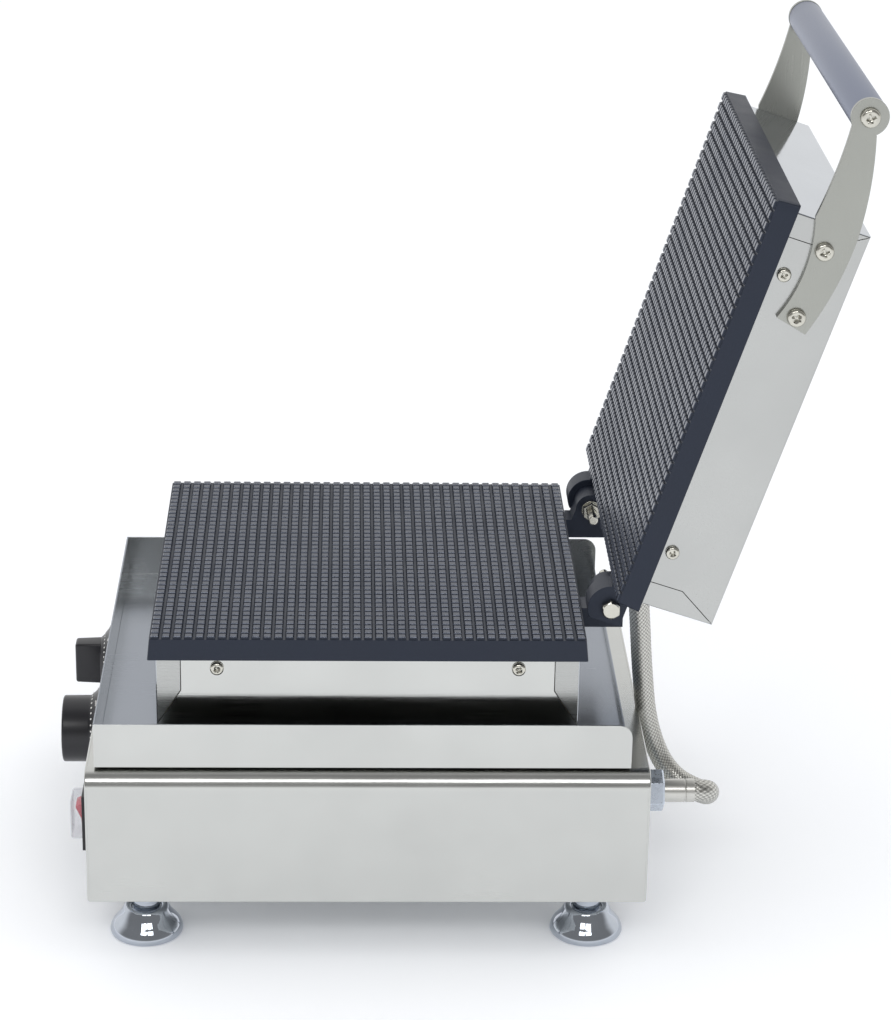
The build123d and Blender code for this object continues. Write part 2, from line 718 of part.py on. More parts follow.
bezel_width = 28.0
bezel_tall = 34.5
bezel_depth = 3.5
window_width = 12.4
window_tall = 18.4
rocker_radius = 8.9
rocker_width = 11.6
rocker_tilt = 14.0
pivot_depth = 1.5
pin_radius = 1.0
housing = Box(bezel_width, bezel_depth, bezel_tall, align=(Align.CENTER, Align.MAX, Align.CENTER))
housing += Box(switch_width, 24.0, switch_tall, align=(Align.CENTER, Align.MIN, Align.CENTER))
well = Pos(0, -bezel_depth, 0)
housing -= well * Box(window_width, 15.0, window_tall, align=(Align.CENTER, Align.MIN, Align.CENTER))
pivot_y = -bezel_depth + pivot_depth
pin = Pos(0, pivot_y, 0) * facing_x(Cylinder(pin_radius, window_width + 2.0))
save("switch_housing", switch_place * (housing + pin))

rocker_ends = Circle(rocker_radius)
rocker_front = Polygon((-8.0, -9.0), (4.2, -9.0), (2.6, 0), (4.2, 9.0), (-8.0, 9.0), align=None)
rocker_back = Pos(-3.0 - 5.0, 0) * Rectangle(10.0, 30.0)
rocker_outline = (rocker_ends & rocker_front) - rocker_back - Circle(pin_radius + stud_clearance)
rocker_outline = Plane(origin=(0, 0, 0), x_dir=(0, -1, 0), z_dir=(1, 0, 0)) * rocker_outline
rocker = extrude(rocker_outline, amount=rocker_width / 2, both=True)
save("rocker", switch_place * Pos(0, pivot_y, 0) * Rot(rocker_tilt, 0, 0) * rocker)

cap_depth = 7.0
cap_wall = 0.6
cap_width = 20.5
cap_tall = 25.0
cap_corner_radius = 3.0
cap_base = Pos(0, -bezel_depth, 0) * Rot(90, 0, 0)
cap = extrude(RectangleRounded(cap_width, cap_tall, cap_corner_radius), amount=cap_depth)
cap = fillet(cap.edges().group_by(Axis.Z)[-1], 1.5)
cap_hollow = extrude(
    RectangleRounded(cap_width - 2 * cap_wall, cap_tall - 2 * cap_wall, cap_corner_radius - cap_wall),
    amount=cap_depth - cap_wall,
)
cap_hollow = fillet(cap_hollow.edges().group_by(Axis.Z)[-1], 1.5 - cap_wall)
save("switch_cap", switch_place * cap_base * (cap - cap_hollow))

terminal_block = Pos(30, 60, bottom_z + casing_sheet) * Box(60, 22, 20, align=LOW)
save("terminal_block", terminal_block)


# Glands and the hose that carries the wiring from the body to the lid

gland_nut_thickness = 13.5
gland_across = 22.0
gland_turn = 15.0
ferrule_end = 31.8
ferrule_radius = 7.0
hose_bore = hose_radius + stud_clearance
gland = Rot(0, 0, gland_turn) * hex_piece(gland_across, gland_nut_thickness, hose_bore)
gland = chamfer(gland.faces().sort_by(Axis.Z)[-1].outer_wire().edges(), 0.8)
gland += Pos(0, 0, -12.0) * ring(gland_thread_radius, hose_bore, 12.0)
save("hose_gland", hose_port * facing_rear(gland))
locknut = Pos(0, 0, -body_sheet - 5.0) * hex_piece(gland_across, 5.0, gland_thread_radius + bore_clearance)
save("hose_locknut", hose_port * facing_rear(locknut))
ferrule = Pos(0, 0, gland_nut_thickness) * ring(ferrule_radius, hose_bore, ferrule_end - gland_nut_thickness)
ferrule_groove = 26.0
ferrule -= Pos(0, 0, ferrule_groove) * ring(ferrule_radius + 1, ferrule_radius - 0.4, 0.8)
save("hose_ferrule", hose_port * facing_rear(ferrule))

inlet_across = 20.0
inlet_nut_thickness = 5.0
inlet_bore = 4.5
inlet = hex_piece(inlet_across, inlet_nut_thickness, inlet_bore)
inlet += Pos(0, 0, -12.0) * ring(inlet_thread_radius, inlet_bore, 12.0)
inlet_dome = Pos(0, 0, inlet_nut_thickness) * ring(8.5, inlet_bore, 6.0)
inlet_dome = fillet(inlet_dome.faces().sort_by(Axis.Z)[-1].outer_wire().edges(), 3.0)
save("mains_gland", inlet_port * facing_rear(inlet + inlet_dome))

sleeve_length = 4.5
lid_port = Pos(lid_hose_x, half_length, hinge_z + lid_hose_out)
flange_ring = Pos(0, 0, -casing_sheet - 1.0) * ring(hose_radius + 1.4, hose_bore, 1.0)
lid_sleeve = ring(hose_radius + 0.35, hose_bore, casing_sheet + 1.0)
lid_sleeve = Pos(0, 0, -casing_sheet - 1.0) * lid_sleeve
lid_sleeve += flange_ring + ring(hose_radius + 1.2, hose_bore, sleeve_length)
save_lid("lid_hose_sleeve", lid_port * facing_rear(lid_sleeve))

hose_end_along = hinge_y - half_length
last_run = 10.0


def opened_point(x, along, out):
    """Place of a lid point in the open lid."""
    y = hinge_y - along * cos(turn) + out * sin(turn)
    z = hinge_z + along * sin(turn) + out * cos(turn)
    return (x, y, z)


hose_points = [
    (hose_gland_x, body_rear, hose_gland_z),
    (hose_gland_x, 204.9, hose_gland_z),
    (71.5, 204.9, -125.0),
    (60.0, 186.0, -113.5),
    (56.0, 168.0, -68.0),
    (54.0, 162.6, -16.0),
    opened_point(lid_hose_x, hose_end_along - last_run, lid_hose_out),
    opened_point(lid_hose_x, hose_end_along, lid_hose_out),
]
hose_bends = [10.0, 10.0, 30.0, 70.0, 60.0, 25.0]
hose_path = FilletPolyline(*hose_points, radius=hose_bends)
hose_start = Plane(origin=hose_points[0], z_dir=(0, 1, 0))
hose = sweep(hose_start * Circle(hose_radius), path=hose_path)
save("braided_hose", hose)

print("hose length", round(hose_path.length, 1))
print("hose volume over section times length", round(hose.volume / (pi * hose_radius**2 * hose_path.length), 4))
for point in hose_points:
    print("hose point", [round(v, 2) for v in (in_row_frame * Vertex(*point)).center()])
print("hinge axis", round(hinge_y + plate_y, 3), round(hinge_z + plate_height, 3))
print("plate offset", round(plate_y, 3), round(plate_height, 3))
print("rocker pivot", round(body_front + pivot_y + plate_y, 3), round(switch_z + plate_height, 3))
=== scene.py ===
import json
import math

import bmesh
import bpy
from mathutils import Matrix, Vector


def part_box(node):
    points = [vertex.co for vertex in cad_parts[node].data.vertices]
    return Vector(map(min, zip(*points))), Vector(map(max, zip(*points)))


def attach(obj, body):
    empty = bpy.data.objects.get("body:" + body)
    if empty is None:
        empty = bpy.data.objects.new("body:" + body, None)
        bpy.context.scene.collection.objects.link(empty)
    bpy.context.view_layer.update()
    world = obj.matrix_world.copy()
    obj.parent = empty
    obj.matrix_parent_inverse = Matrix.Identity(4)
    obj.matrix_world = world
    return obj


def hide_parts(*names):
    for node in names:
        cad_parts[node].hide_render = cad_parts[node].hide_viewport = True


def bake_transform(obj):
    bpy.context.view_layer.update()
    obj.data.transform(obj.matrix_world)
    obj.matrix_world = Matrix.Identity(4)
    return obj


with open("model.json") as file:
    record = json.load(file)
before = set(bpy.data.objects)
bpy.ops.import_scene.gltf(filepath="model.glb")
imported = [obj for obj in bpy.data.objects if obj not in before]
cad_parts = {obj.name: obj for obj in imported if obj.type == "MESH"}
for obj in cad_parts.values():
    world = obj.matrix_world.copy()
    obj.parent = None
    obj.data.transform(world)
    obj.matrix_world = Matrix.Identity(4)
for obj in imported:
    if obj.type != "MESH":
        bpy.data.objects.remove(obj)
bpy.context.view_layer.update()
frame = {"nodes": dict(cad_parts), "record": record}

bl_info = {
    "name": "Stroopwafel iron",
    "version": (1, 0, 0),
    "blender": (4, 5, 0),
    "location": "3D View > Sidebar > Waffle iron",
    "description": "Dresses the hinged stroopwafel iron and sets its stage",
    "category": "Add Mesh",
}

NODES = frame["nodes"]
JOINTS = {joint["name"]: joint for joint in frame["record"]["behaviour"]["joints"]}

# The closed lid turns about this axis into the open place in which it is stored.
HINGE = Vector(JOINTS["lid_hinge"]["pos_m"])
OPEN_ANGLE = math.radians(JOINTS["lid_hinge"]["range_deg"][1])
LID_OPEN = (
    Matrix.Translation(HINGE) @ Matrix.Rotation(-OPEN_ANGLE, 4, "X") @ Matrix.Translation(-HINGE)
)

# Middle of the lower plate's face, from which the other places are counted.
PLATE_LOW, PLATE_HIGH = (Vector(corner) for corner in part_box("lower_plate"))
PLATE = Vector(((PLATE_LOW.x + PLATE_HIGH.x) / 2, (PLATE_LOW.y + PLATE_HIGH.y) / 2, PLATE_HIGH.z))

MM = 0.001
WELD = 0.000004  # points of a solid nearer than this are one point
ONE_PLANE = math.radians(0.6)  # triangles that meet flatter than this are one face


def linear(code):
    """Linear colour of an sRGB hex value such as #C8C6C0."""
    values = [int(code[i:i + 2], 16) / 255 for i in (1, 3, 5)]
    return tuple(v / 12.92 if v <= 0.04045 else ((v + 0.055) / 1.055) ** 2.4 for v in values)


# Settings

class PlateSettings(bpy.types.PropertyGroup):
    face: bpy.props.FloatProperty(
        name="Face", description="Side of the square baking face", default=0.25, unit="LENGTH"
    )
    thickness: bpy.props.FloatProperty(
        name="Thickness", description="Thickness of the cast plate", default=0.014, unit="LENGTH"
    )
    draft: bpy.props.FloatProperty(
        name="Draft", description="How far each edge leans out to the back", default=0.0012, unit="LENGTH"
    )
    pads: bpy.props.IntProperty(name="Pads", description="Pads along each side", default=39)
    groove: bpy.props.FloatProperty(
        name="Groove", description="Width of a groove at its floor", default=0.0013, unit="LENGTH"
    )
    pad_height: bpy.props.FloatProperty(
        name="Pad height", description="Height of a pad over the groove", default=0.0015, unit="LENGTH"
    )
    corner: bpy.props.FloatProperty(
        name="Corner", description="Radius of the plate's corners", default=0.0012, unit="LENGTH"
    )
    closed_gap: bpy.props.FloatProperty(
        name="Closed gap", description="Gap between the closed plates", default=0.001, unit="LENGTH"
    )
    iron: bpy.props.FloatVectorProperty(
        name="Iron", description="Colour of the cast iron", subtype="COLOR", default=linear("#141924")
    )
    # The rubbed pads' colour is the iron's, a touch lighter as painted sheen.
    pad_iron: bpy.props.FloatVectorProperty(
        name="Pad iron", description="Colour of the rubbed pads", subtype="COLOR",
        default=linear("#151A26"),
    )


class SheetSettings(bpy.types.PropertyGroup):
    edge: bpy.props.FloatProperty(
        name="Edge", description="Broken edge on the sheet metal", default=0.0003, unit="LENGTH"
    )
    cast_edge: bpy.props.FloatProperty(
        name="Cast edge", description="Rounded edge on the hinge castings", default=0.0011, unit="LENGTH"
    )
    steel: bpy.props.FloatVectorProperty(
        name="Steel", description="Colour of the stainless sheet", subtype="COLOR",
        default=linear("#C6C7C4"),
    )
    bright: bpy.props.FloatVectorProperty(
        name="Bright steel", description="Colour of the polished sheet", subtype="COLOR",
        default=linear("#B6BBC1"),
    )
    grain: bpy.props.FloatProperty(
        name="Grain", description="Spacing of the brushed grain", default=0.0005, unit="LENGTH"
    )


class ControlSettings(bpy.types.PropertyGroup):
    knob: bpy.props.FloatVectorProperty(
        name="Knob", description="Colour of the moulded knobs", subtype="COLOR",
        default=linear("#1C1C21"),
    )
    marks: bpy.props.FloatVectorProperty(
        name="Marks", description="Colour of the dots and figures", subtype="COLOR",
        default=linear("#EDEDEA"),
    )
    rocker: bpy.props.FloatVectorProperty(
        name="Rocker", description="Colour of the rocker", subtype="COLOR", default=linear("#C8303C")
    )
    dot: bpy.props.FloatProperty(
        name="Dot", description="Radius of a scale dot", default=0.0006, unit="LENGTH"
    )


class HoseSettings(bpy.types.PropertyGroup):
    radius: bpy.props.FloatProperty(
        name="Radius", description="Radius of the braided hose", default=0.00625, unit="LENGTH"
    )
    strands: bpy.props.IntProperty(name="Strands", description="Wire bands each way round", default=16)
    relief: bpy.props.FloatProperty(
        name="Relief", description="Depth of the braid", default=0.0004, unit="LENGTH"
    )
    step: bpy.props.FloatProperty(
        name="Step", description="Distance between rings of the mesh", default=0.0005, unit="LENGTH"
    )
    bulge: bpy.props.FloatProperty(
        name="Bulge", description="Share by which the braid widens at its bend", default=0.13
    )
    bulge_at: bpy.props.FloatProperty(
        name="Bulge at", description="Place of the bend along the hose", default=0.055, unit="LENGTH"
    )


class StageSettings(bpy.types.PropertyGroup):
    camera_offset: bpy.props.FloatVectorProperty(
        name="Camera", description="Camera from the middle of the lower plate", unit="LENGTH",
        default=(1.71547, -0.01276, 0.70285),
    )
    camera_turn: bpy.props.FloatVectorProperty(
        name="Turn", description="Camera rotation", subtype="EULER",
        default=tuple(math.radians(a) for a in (68.57735, -0.93843, 88.37099)),
    )
    lens: bpy.props.FloatProperty(name="Lens", description="Focal length in mm", default=107.53)
    floor: bpy.props.FloatVectorProperty(
        name="Floor", description="Colour of the table", subtype="COLOR", default=linear("#FAFBFD")
    )
    glow: bpy.props.FloatProperty(
        name="Glow", description="Light of the table's own, seen in its shadows", default=0.08
    )
    sky: bpy.props.FloatProperty(name="Sky", description="Strength of the room light", default=1.0)
    box: bpy.props.FloatProperty(
        name="Soft box", description="Power of each soft box in watts", default=3.8
    )
    box_width: bpy.props.FloatProperty(
        name="Box width", description="Width of a soft box", default=0.56, unit="LENGTH"
    )
    box_height: bpy.props.FloatProperty(
        name="Box height", description="Height of a soft box", default=0.42, unit="LENGTH"
    )
    gloom: bpy.props.FloatProperty(
        name="Gloom", description="How dark the room behind the camera looks in the chrome", default=0.72
    )


# Materials

def new_material(name):
    """A material without nodes, and its node tree."""
    material = bpy.data.materials.new(name)
    material.use_nodes = True
    material.node_tree.nodes.clear()
    return material, material.node_tree


def add(tree, kind, inputs=(), **settings):
    """Add a node; inputs pairs socket names with a value or with another node's output."""
    node = tree.nodes.new(kind)
    for key, value in settings.items():
        setattr(node, key, value)
    for key, value in dict(inputs).items():
        if isinstance(value, bpy.types.NodeSocket):
            tree.links.new(value, node.inputs[key])
        else:
            node.inputs[key].default_value = value
    return node


def scaled(tree, x, y=None, z=None):
    """Object coordinates in cells of x, y and z metres, or in cubes of x."""
    place = add(tree, "ShaderNodeTexCoord")
    cells = (1 / x, 1 / (y or x), 1 / (z or x))
    return add(tree, "ShaderNodeMapping", {"Vector": place.outputs["Object"], "Scale": cells}).outputs[0]


def noise(tree, cells, detail=3.0, rough=0.5):
    inputs = {"Vector": cells, "Scale": 1.0, "Detail": detail, "Roughness": rough}
    return add(tree, "ShaderNodeTexNoise", inputs).outputs["Fac"]


def spread(tree, value, low, high):
    """Map a noise value from its usual middle range to low..high."""
    inputs = {"Value": value, "From Min": 0.3, "From Max": 0.7, "To Min": low, "To Max": high}
    return add(tree, "ShaderNodeMapRange", inputs).outputs[0]


def blended(tree, factor, first, second):
    """Mix two colours, which are the node's sockets 6 and 7."""
    inputs = {0: factor, 6: (*first, 1.0), 7: (*second, 1.0)}
    return add(tree, "ShaderNodeMix", inputs, data_type="RGBA").outputs[2]


def bump(tree, height, distance, strength=1.0):
    inputs = {"Height": height, "Distance": distance, "Strength": strength}
    return add(tree, "ShaderNodeBump", inputs).outputs[0]


def surface(tree, inputs):
    shader = add(tree, "ShaderNodeBsdfPrincipled", inputs)
    add(tree, "ShaderNodeOutputMaterial", {"Surface": shader.outputs[0]})
    return shader


def shade(colour, factor):
    return tuple(min(1.0, c * factor) for c in colour)


def toned(tree, pattern, colour, low, high):
    """The colour, shaded from low to high by a noise pattern."""
    return blended(tree, spread(tree, pattern, 0.0, 1.0), shade(colour, low), shade(colour, high))


def brushed_steel(name, colour, grain, along, roughness, smudge=0.05):
    """Rolled stainless: fine straight grain that spreads highlights across it."""
    material, tree = new_material(name)
    size = [grain, grain, grain]
    size[along] = grain * 90
    lines = noise(tree, scaled(tree, *size), 2.0)
    cloud = noise(tree, scaled(tree, 0.06), 3.0)
    tone = toned(tree, cloud, colour, 0.95, 1.03)
    satin = spread(tree, lines, roughness - 0.03, roughness + 0.04)
    dulled = spread(tree, cloud, 0, smudge)
    rough = add(tree, "ShaderNodeMath", {0: satin, 1: dulled}, operation="ADD")
    surface(tree, {
        "Base Color": tone,
        "Metallic": 1.0,
        "Roughness": rough.outputs[0],
        "Normal": bump(tree, lines, 0.00002, 0.5),
    })
    return material


def cast_iron(name, colour, roughness, pit, gloss=0.5):
    """Seasoned cast iron: sandy skin, dark with a burnt oil film that dulls it unevenly."""
    material, tree = new_material(name)
    sand = noise(tree, scaled(tree, pit), 4.0, 0.6)
    film = noise(tree, scaled(tree, 0.03), 3.0)
    surface(tree, {
        "Base Color": toned(tree, film, colour, 0.85, 1.2),
        "Roughness": spread(tree, film, roughness - 0.05, roughness + 0.06),
        "Specular IOR Level": gloss,
        "Specular Tint": (0.82, 0.9, 1.1, 1.0),
        "Normal": bump(tree, sand, 0.00012, 0.6),
    })
    return material


def plated_metal(name, colour, roughness, cell=0.004, variation=0.04):
    """Plated or polished metal: a clean reflection with a faint waviness."""
    material, tree = new_material(name)
    wave = noise(tree, scaled(tree, cell), 2.0)
    surface(tree, {
        "Base Color": toned(tree, wave, colour, 0.94, 1.02),
        "Metallic": 1.0,
        "Roughness": spread(tree, wave, roughness, roughness + variation),
        "Normal": bump(tree, wave, 0.00003, 0.3),
    })
    return material


def see_through(name, colour, edge, roughness):
    """Clear moulding: thin walls let most light by, and look darker where they are looked along."""
    material, tree = new_material(name)
    ripple = noise(tree, scaled(tree, 0.004), 2.0)
    along = add(tree, "ShaderNodeLayerWeight", {"Blend": 0.35}).outputs["Facing"]
    thick = add(tree, "ShaderNodeMath", {0: along, 1: 3.0}, operation="POWER").outputs[0]
    alpha = add(tree, "ShaderNodeMapRange", {"Value": thick, "To Min": 0.12, "To Max": 0.85})
    surface(tree, {
        "Base Color": blended(tree, thick, colour, edge),
        "Alpha": alpha.outputs[0],
        "Roughness": spread(tree, ripple, roughness, roughness + 0.06),
        "IOR": 1.45,
        "Normal": bump(tree, ripple, 0.00005, 0.3),
    })
    return material


def moulded(name, colour, roughness, grit=0.0006, depth=0.00002, ior=1.5):
    """Moulded plastic: even colour with the tool's fine texture in its gloss."""
    material, tree = new_material(name)
    skin = noise(tree, scaled(tree, grit), 3.0)
    flow = noise(tree, scaled(tree, 0.02), 2.0)
    surface(tree, {
        "Base Color": toned(tree, flow, colour, 0.92, 1.08),
        "Roughness": spread(tree, skin, roughness - 0.04, roughness + 0.04),
        "IOR": ior,
        "Normal": bump(tree, skin, depth, 0.5),
    })
    return material


def wire_braid(name, colour):
    """Woven stainless wire: bright bands, with painted shade in the openings where they cross."""
    material, tree = new_material(name)
    shade_height = add(tree, "ShaderNodeAttribute", attribute_name="shade_height").outputs["Fac"]
    wires = noise(tree, scaled(tree, 0.0004), 2.0)
    surface(tree, {
        # Painted shade: the braid's low places take the dark colour.
        "Base Color": blended(tree, shade_height, linear("#3B3A36"), colour),
        "Metallic": 1.0,
        "Roughness": spread(tree, wires, 0.24, 0.4),
        "Normal": bump(tree, wires, 0.00004, 0.4),
    })
    return material


def felt(name, colour):
    """Mineral wool: matte fibres with a loose, cloudy surface."""
    material, tree = new_material(name)
    fibre = noise(tree, scaled(tree, 0.002, 0.002, 0.0008), 5.0, 0.7)
    surface(tree, {
        "Base Color": toned(tree, fibre, colour, 0.75, 1.1),
        "Roughness": 0.95,
        "Normal": bump(tree, fibre, 0.0006, 0.8),
    })
    return material


FINISHES = {}


def make_finishes(scene):
    sheet, plates, controls = scene.iron_sheet, scene.iron_plates, scene.iron_controls
    grain = sheet.grain
    FINISHES.update({
        # Side panels: cold-rolled stainless, grain along the iron's depth, satin.
        "side_steel": brushed_steel("cold rolled stainless sheet", sheet.steel, grain, 1, 0.2),
        # Tray and lower casing: the same sheet, smooth enough to mirror the dark plate over it.
        "tray_steel": brushed_steel("bright rolled stainless sheet", sheet.steel, grain, 1, 0.11, 0.03),
        # Tray floor: the same sheet, duller, coloured a darker blue grey as a painted reflection.
        "tray_floor_painted_reflection": brushed_steel(
            "rolled stainless sheet with painted reflection", linear("#979CA4"), grain, 1, 0.18, 0.1
        ),
        # Flaps of the lower casing: the same sheet, dulled by the heat.
        "flap_steel": brushed_steel("heat dulled stainless sheet", linear("#B2B3B1"), grain, 1, 0.24),
        # Lid casing: the same sheet with its grain across.
        "lid_steel": brushed_steel("cold rolled stainless lid sheet", linear("#B5B6B4"), grain, 0, 0.2),
        # End plates: bright annealed sheet that mirrors what is near.
        "end_steel": brushed_steel("bright annealed stainless sheet", sheet.bright, grain, 0, 0.07, 0.02),
        # Brackets: thicker sheet, a little duller and warmer.
        "bracket_steel": brushed_steel("rolled stainless plate", linear("#A3A49E"), grain, 2, 0.27),
        # Plates: dark sandy iron, whose pads are rubbed smooth and catch the light; the pads' colour is a
        # touch lighter as painted sheen.
        "iron": cast_iron("seasoned cast iron", plates.iron, 0.46, 0.0011),
        "pad_iron": cast_iron("rubbed cast iron with painted sheen", plates.pad_iron, 0.2, 0.0011, 0.9),
        # Fixings: bluish zinc, warm nickel, mirror chrome, satin turned steel, and painted black shade in
        # the recesses.
        "zinc": plated_metal("zinc plated steel", linear("#CDD5E0"), 0.24, 0.003, 0.1),
        "recess": moulded("painted shade in driver recess", linear("#1E1E1C"), 0.6),
        "ferrule": brushed_steel("turned stainless steel", linear("#CFCEC9"), 0.0004, 1, 0.3),
        "nickel": plated_metal("nickel plated steel", linear("#C9C7BD"), 0.14),
        "chrome": plated_metal("chrome plated steel", linear("#BCC2CB"), 0.04, 0.012, 0.03),
        # Grip: bead blasted aluminium tube, anodised, with a soft broad highlight.
        "grip": plated_metal("anodised aluminium", linear("#7F8596"), 0.34, 0.0007, 0.06),
        # Plastics: near black with a soft gloss, the rocker a clear red.
        "knob": moulded("phenolic", controls.knob, 0.32),
        "housing": moulded("nylon", linear("#1B1B1E"), 0.42),
        "rubber": moulded("synthetic rubber", linear("#1C1C1F"), 0.6),
        "rocker": moulded("polycarbonate", controls.rocker, 0.2, 0.002, 0.00001, 1.58),
        "marks": moulded("printing ink", controls.marks, 0.5),
        # Splash cap: clear soft vinyl, pale in its faces and greyer where its edges are looked along.
        "vinyl": see_through("clear soft vinyl", linear("#C9CCD8"), linear("#5C5F6B"), 0.08),
        # Hose and inner parts.
        "braid": wire_braid("stainless wire braid", linear("#E2E1DB")),
        "wool": felt("mineral wool", linear("#C9BFA2")),
        "ceramic": moulded("steatite", linear("#DAD8CE"), 0.35),
        "sheath": plated_metal("stainless heater sheath", linear("#8C8378"), 0.35),
    })


# Modelling helpers

def start():
    if bpy.context.object and bpy.context.object.mode != "OBJECT":
        bpy.ops.object.mode_set(mode="OBJECT")
    bpy.ops.object.select_all(action="DESELECT")


def edit(kind="VERT"):
    bpy.ops.object.mode_set(mode="EDIT")
    bpy.ops.mesh.select_mode(type=kind)


def edit_all(kind="VERT"):
    edit(kind)
    bpy.ops.mesh.select_all(action="SELECT")


def leave():
    bpy.ops.object.mode_set(mode="OBJECT")
    return bpy.context.object


def only(piece):
    start()
    piece.select_set(True)
    bpy.context.view_layer.objects.active = piece


def apply_place():
    bpy.ops.object.transform_apply(location=True, rotation=True, scale=True)


def apply_modifier(piece, kind, **settings):
    only(piece)
    modifier = piece.modifiers.new(kind.title(), kind)
    for key, value in settings.items():
        setattr(modifier, key, value)
    bpy.ops.object.modifier_apply(modifier=modifier.name)


def broken_edges(piece, width, segments=2, angle=32.0):
    """Round the sharp edges and keep the flat faces flat to the light."""
    apply_modifier(
        piece, "BEVEL", width=width, segments=segments, limit_method="ANGLE",
        angle_limit=math.radians(angle), use_clamp_overlap=True,
    )
    only(piece)
    bpy.ops.object.shade_smooth_by_angle(angle=math.radians(46))
    apply_modifier(piece, "WEIGHTED_NORMAL", keep_sharp=True)


def settle(piece, name, body, finishes, nodes=(), place=None, smooth=None):
    """Put a finished piece in its place and let it ride on its body."""
    only(piece)
    if place is not None:
        piece.matrix_world = place @ piece.matrix_world
    apply_place()
    if smooth:
        bpy.ops.object.shade_smooth_by_angle(angle=math.radians(smooth))
    piece.name = name
    piece.data.name = name
    slots = piece.data.materials
    for i, finish in enumerate(finishes):
        if i < len(slots):
            slots[i] = FINISHES[finish]
        else:
            slots.append(FINISHES[finish])
    if nodes:
        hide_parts(*nodes)
    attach(piece, body)
    return piece


def joined(parts):
    start()
    for part in parts:
        part.select_set(True)
    bpy.context.view_layer.objects.active = parts[0]
    if len(parts) > 1:
        bpy.ops.object.join()
    return bpy.context.object


def body_of(node):
    bodies = frame["record"]["behaviour"]["bodies"]
    return next(body for body, nodes in bodies.items() if node in nodes)


def faces_x(polygon):
    return abs(polygon.normal.x) > 0.9


def faces_up(polygon):
    return polygon.normal.z > 0.9


def solid_copy(node, whole_faces=False):
    """A copy of a CAD node as a welded mesh without materials, of triangles or of whole faces."""
    start()
    piece = bpy.data.objects.new(node, NODES[node].data.copy())
    bpy.context.collection.objects.link(piece)
    piece.data.materials.clear()
    only(piece)
    edit_all()
    bpy.ops.mesh.remove_doubles(threshold=WELD)
    if whole_faces:
        bpy.ops.mesh.dissolve_limited(angle_limit=ONE_PLANE)
    leave()
    return piece


def from_solid(node, width, finish, segments=2, angle=32.0, second=None, where=faces_x, work=None):
    """A copy of a CAD node with its triangles joined and its edges broken.

    Faces that pass the test take the second finish; work changes the piece before its edges.
    """
    piece = solid_copy(node, whole_faces=True)
    if work:
        work(piece)
    broken_edges(piece, width, segments, angle)
    finishes = [finish]
    if second:
        finishes.append(second)
        for polygon in piece.data.polygons:
            polygon.material_index = int(where(polygon))
    return settle(piece, node + "_finished", body_of(node), finishes, [node])


def block(low, high):
    """A box between two corners."""
    start()
    low, high = Vector(low), Vector(high)
    bpy.ops.mesh.primitive_cube_add(size=1, location=(low + high) / 2, scale=high - low)
    apply_place()
    return bpy.context.object


def combined(piece, other, operation):
    """Unite or intersect the piece with the other one, or cut that one out of it."""
    apply_modifier(piece, "BOOLEAN", object=other, operation=operation, solver="EXACT")
    bpy.data.objects.remove(other)


def loose_parts(piece):
    """Split the piece into its separate solids."""
    only(piece)
    edit_all()
    bpy.ops.mesh.separate(type="LOOSE")
    leave()
    return list(bpy.context.selected_objects)


def corners(piece):
    """Lowest and highest corner of the piece's box."""
    points = [v.co for v in piece.data.vertices]
    low = Vector(min(p[i] for p in points) for i in range(3))
    high = Vector(max(p[i] for p in points) for i in range(3))
    return low, high


def give_slots(piece, own):
    """Two material slots, all faces in one of them, so that a cut keeps which faces it made."""
    piece.data.materials.append(None)
    piece.data.materials.append(None)
    for polygon in piece.data.polygons:
        polygon.material_index = own


def cross_screws(node, finish, axis=0, turn=20.0):
    """A CAD node's pan head screws with a cross recess in each head, each turned its own way, the recess
    painted black as shade.
    """
    screws = loose_parts(solid_copy(node))
    for i, screw in enumerate(screws):
        low, high = corners(screw)
        middle = (low + high) / 2
        outward = -1 if axis == 2 or middle.x < 0 else 1
        radius = max(high[1] - low[1], high[0] - low[0] if axis == 2 else 0) / 2
        half_arm = Vector((radius * 0.5, radius * 0.1, radius * 0.3))
        middle[axis] = high[axis] if outward > 0 else low[axis]
        give_slots(screw, 0)
        for j in range(2):
            arm = block(-half_arm, half_arm)
            stand = Matrix.Rotation(math.radians(turn + i * 37 + j * 90), 4, "Z")
            if axis == 0:
                stand = Matrix.Rotation(math.radians(90), 4, "Y") @ stand
            arm.matrix_world = Matrix.Translation(middle) @ stand
            # The arm's faces carry slot 1, so the recess it cuts takes the painted shade.
            give_slots(arm, 1)
            combined(screw, arm, "DIFFERENCE")
    piece = joined(screws)
    return settle(
        # The second finish is the painted black shade of the recesses.
        piece, node + "_recessed", body_of(node), [finish, "recess"], [node], smooth=30
    )


def turned(points, steps=72):
    """Spin a profile of (radius, height) points in mm about Z."""
    start()
    bpy.ops.mesh.primitive_plane_add(size=0.001)
    edit()
    bpy.ops.mesh.merge(type="CENTER")
    at = Vector((points[0][0], 0, points[0][1])) * MM
    bpy.ops.transform.translate(value=at)
    for radius, height in points[1:]:
        to = Vector((radius, 0, height)) * MM
        bpy.ops.mesh.extrude_vertices_move(TRANSFORM_OT_translate={"value": to - at})
        at = to
    bpy.ops.mesh.select_all(action="SELECT")
    bpy.ops.mesh.spin(steps=steps, angle=2 * math.pi, center=(0, 0, 0), axis=(0, 0, 1))
    bpy.ops.mesh.select_all(action="SELECT")
    bpy.ops.mesh.remove_doubles(threshold=0.000002)
    bpy.ops.mesh.normals_make_consistent(inside=False)
    return leave()


def arc(middle, radius, first, last, count=6):
    """Points of an arc in a profile; angles in degrees from the outward direction."""
    angles = [math.radians(first + (last - first) * i / count) for i in range(count + 1)]
    return [(middle[0] + radius * math.cos(a), middle[1] + radius * math.sin(a)) for a in angles]


# Plates

# A pad's flank and its rounded shoulder: how far each comes inward, and its share of the height.
PAD_STEPS = ((0.0004, 0.72), (0.0003, 0.28))


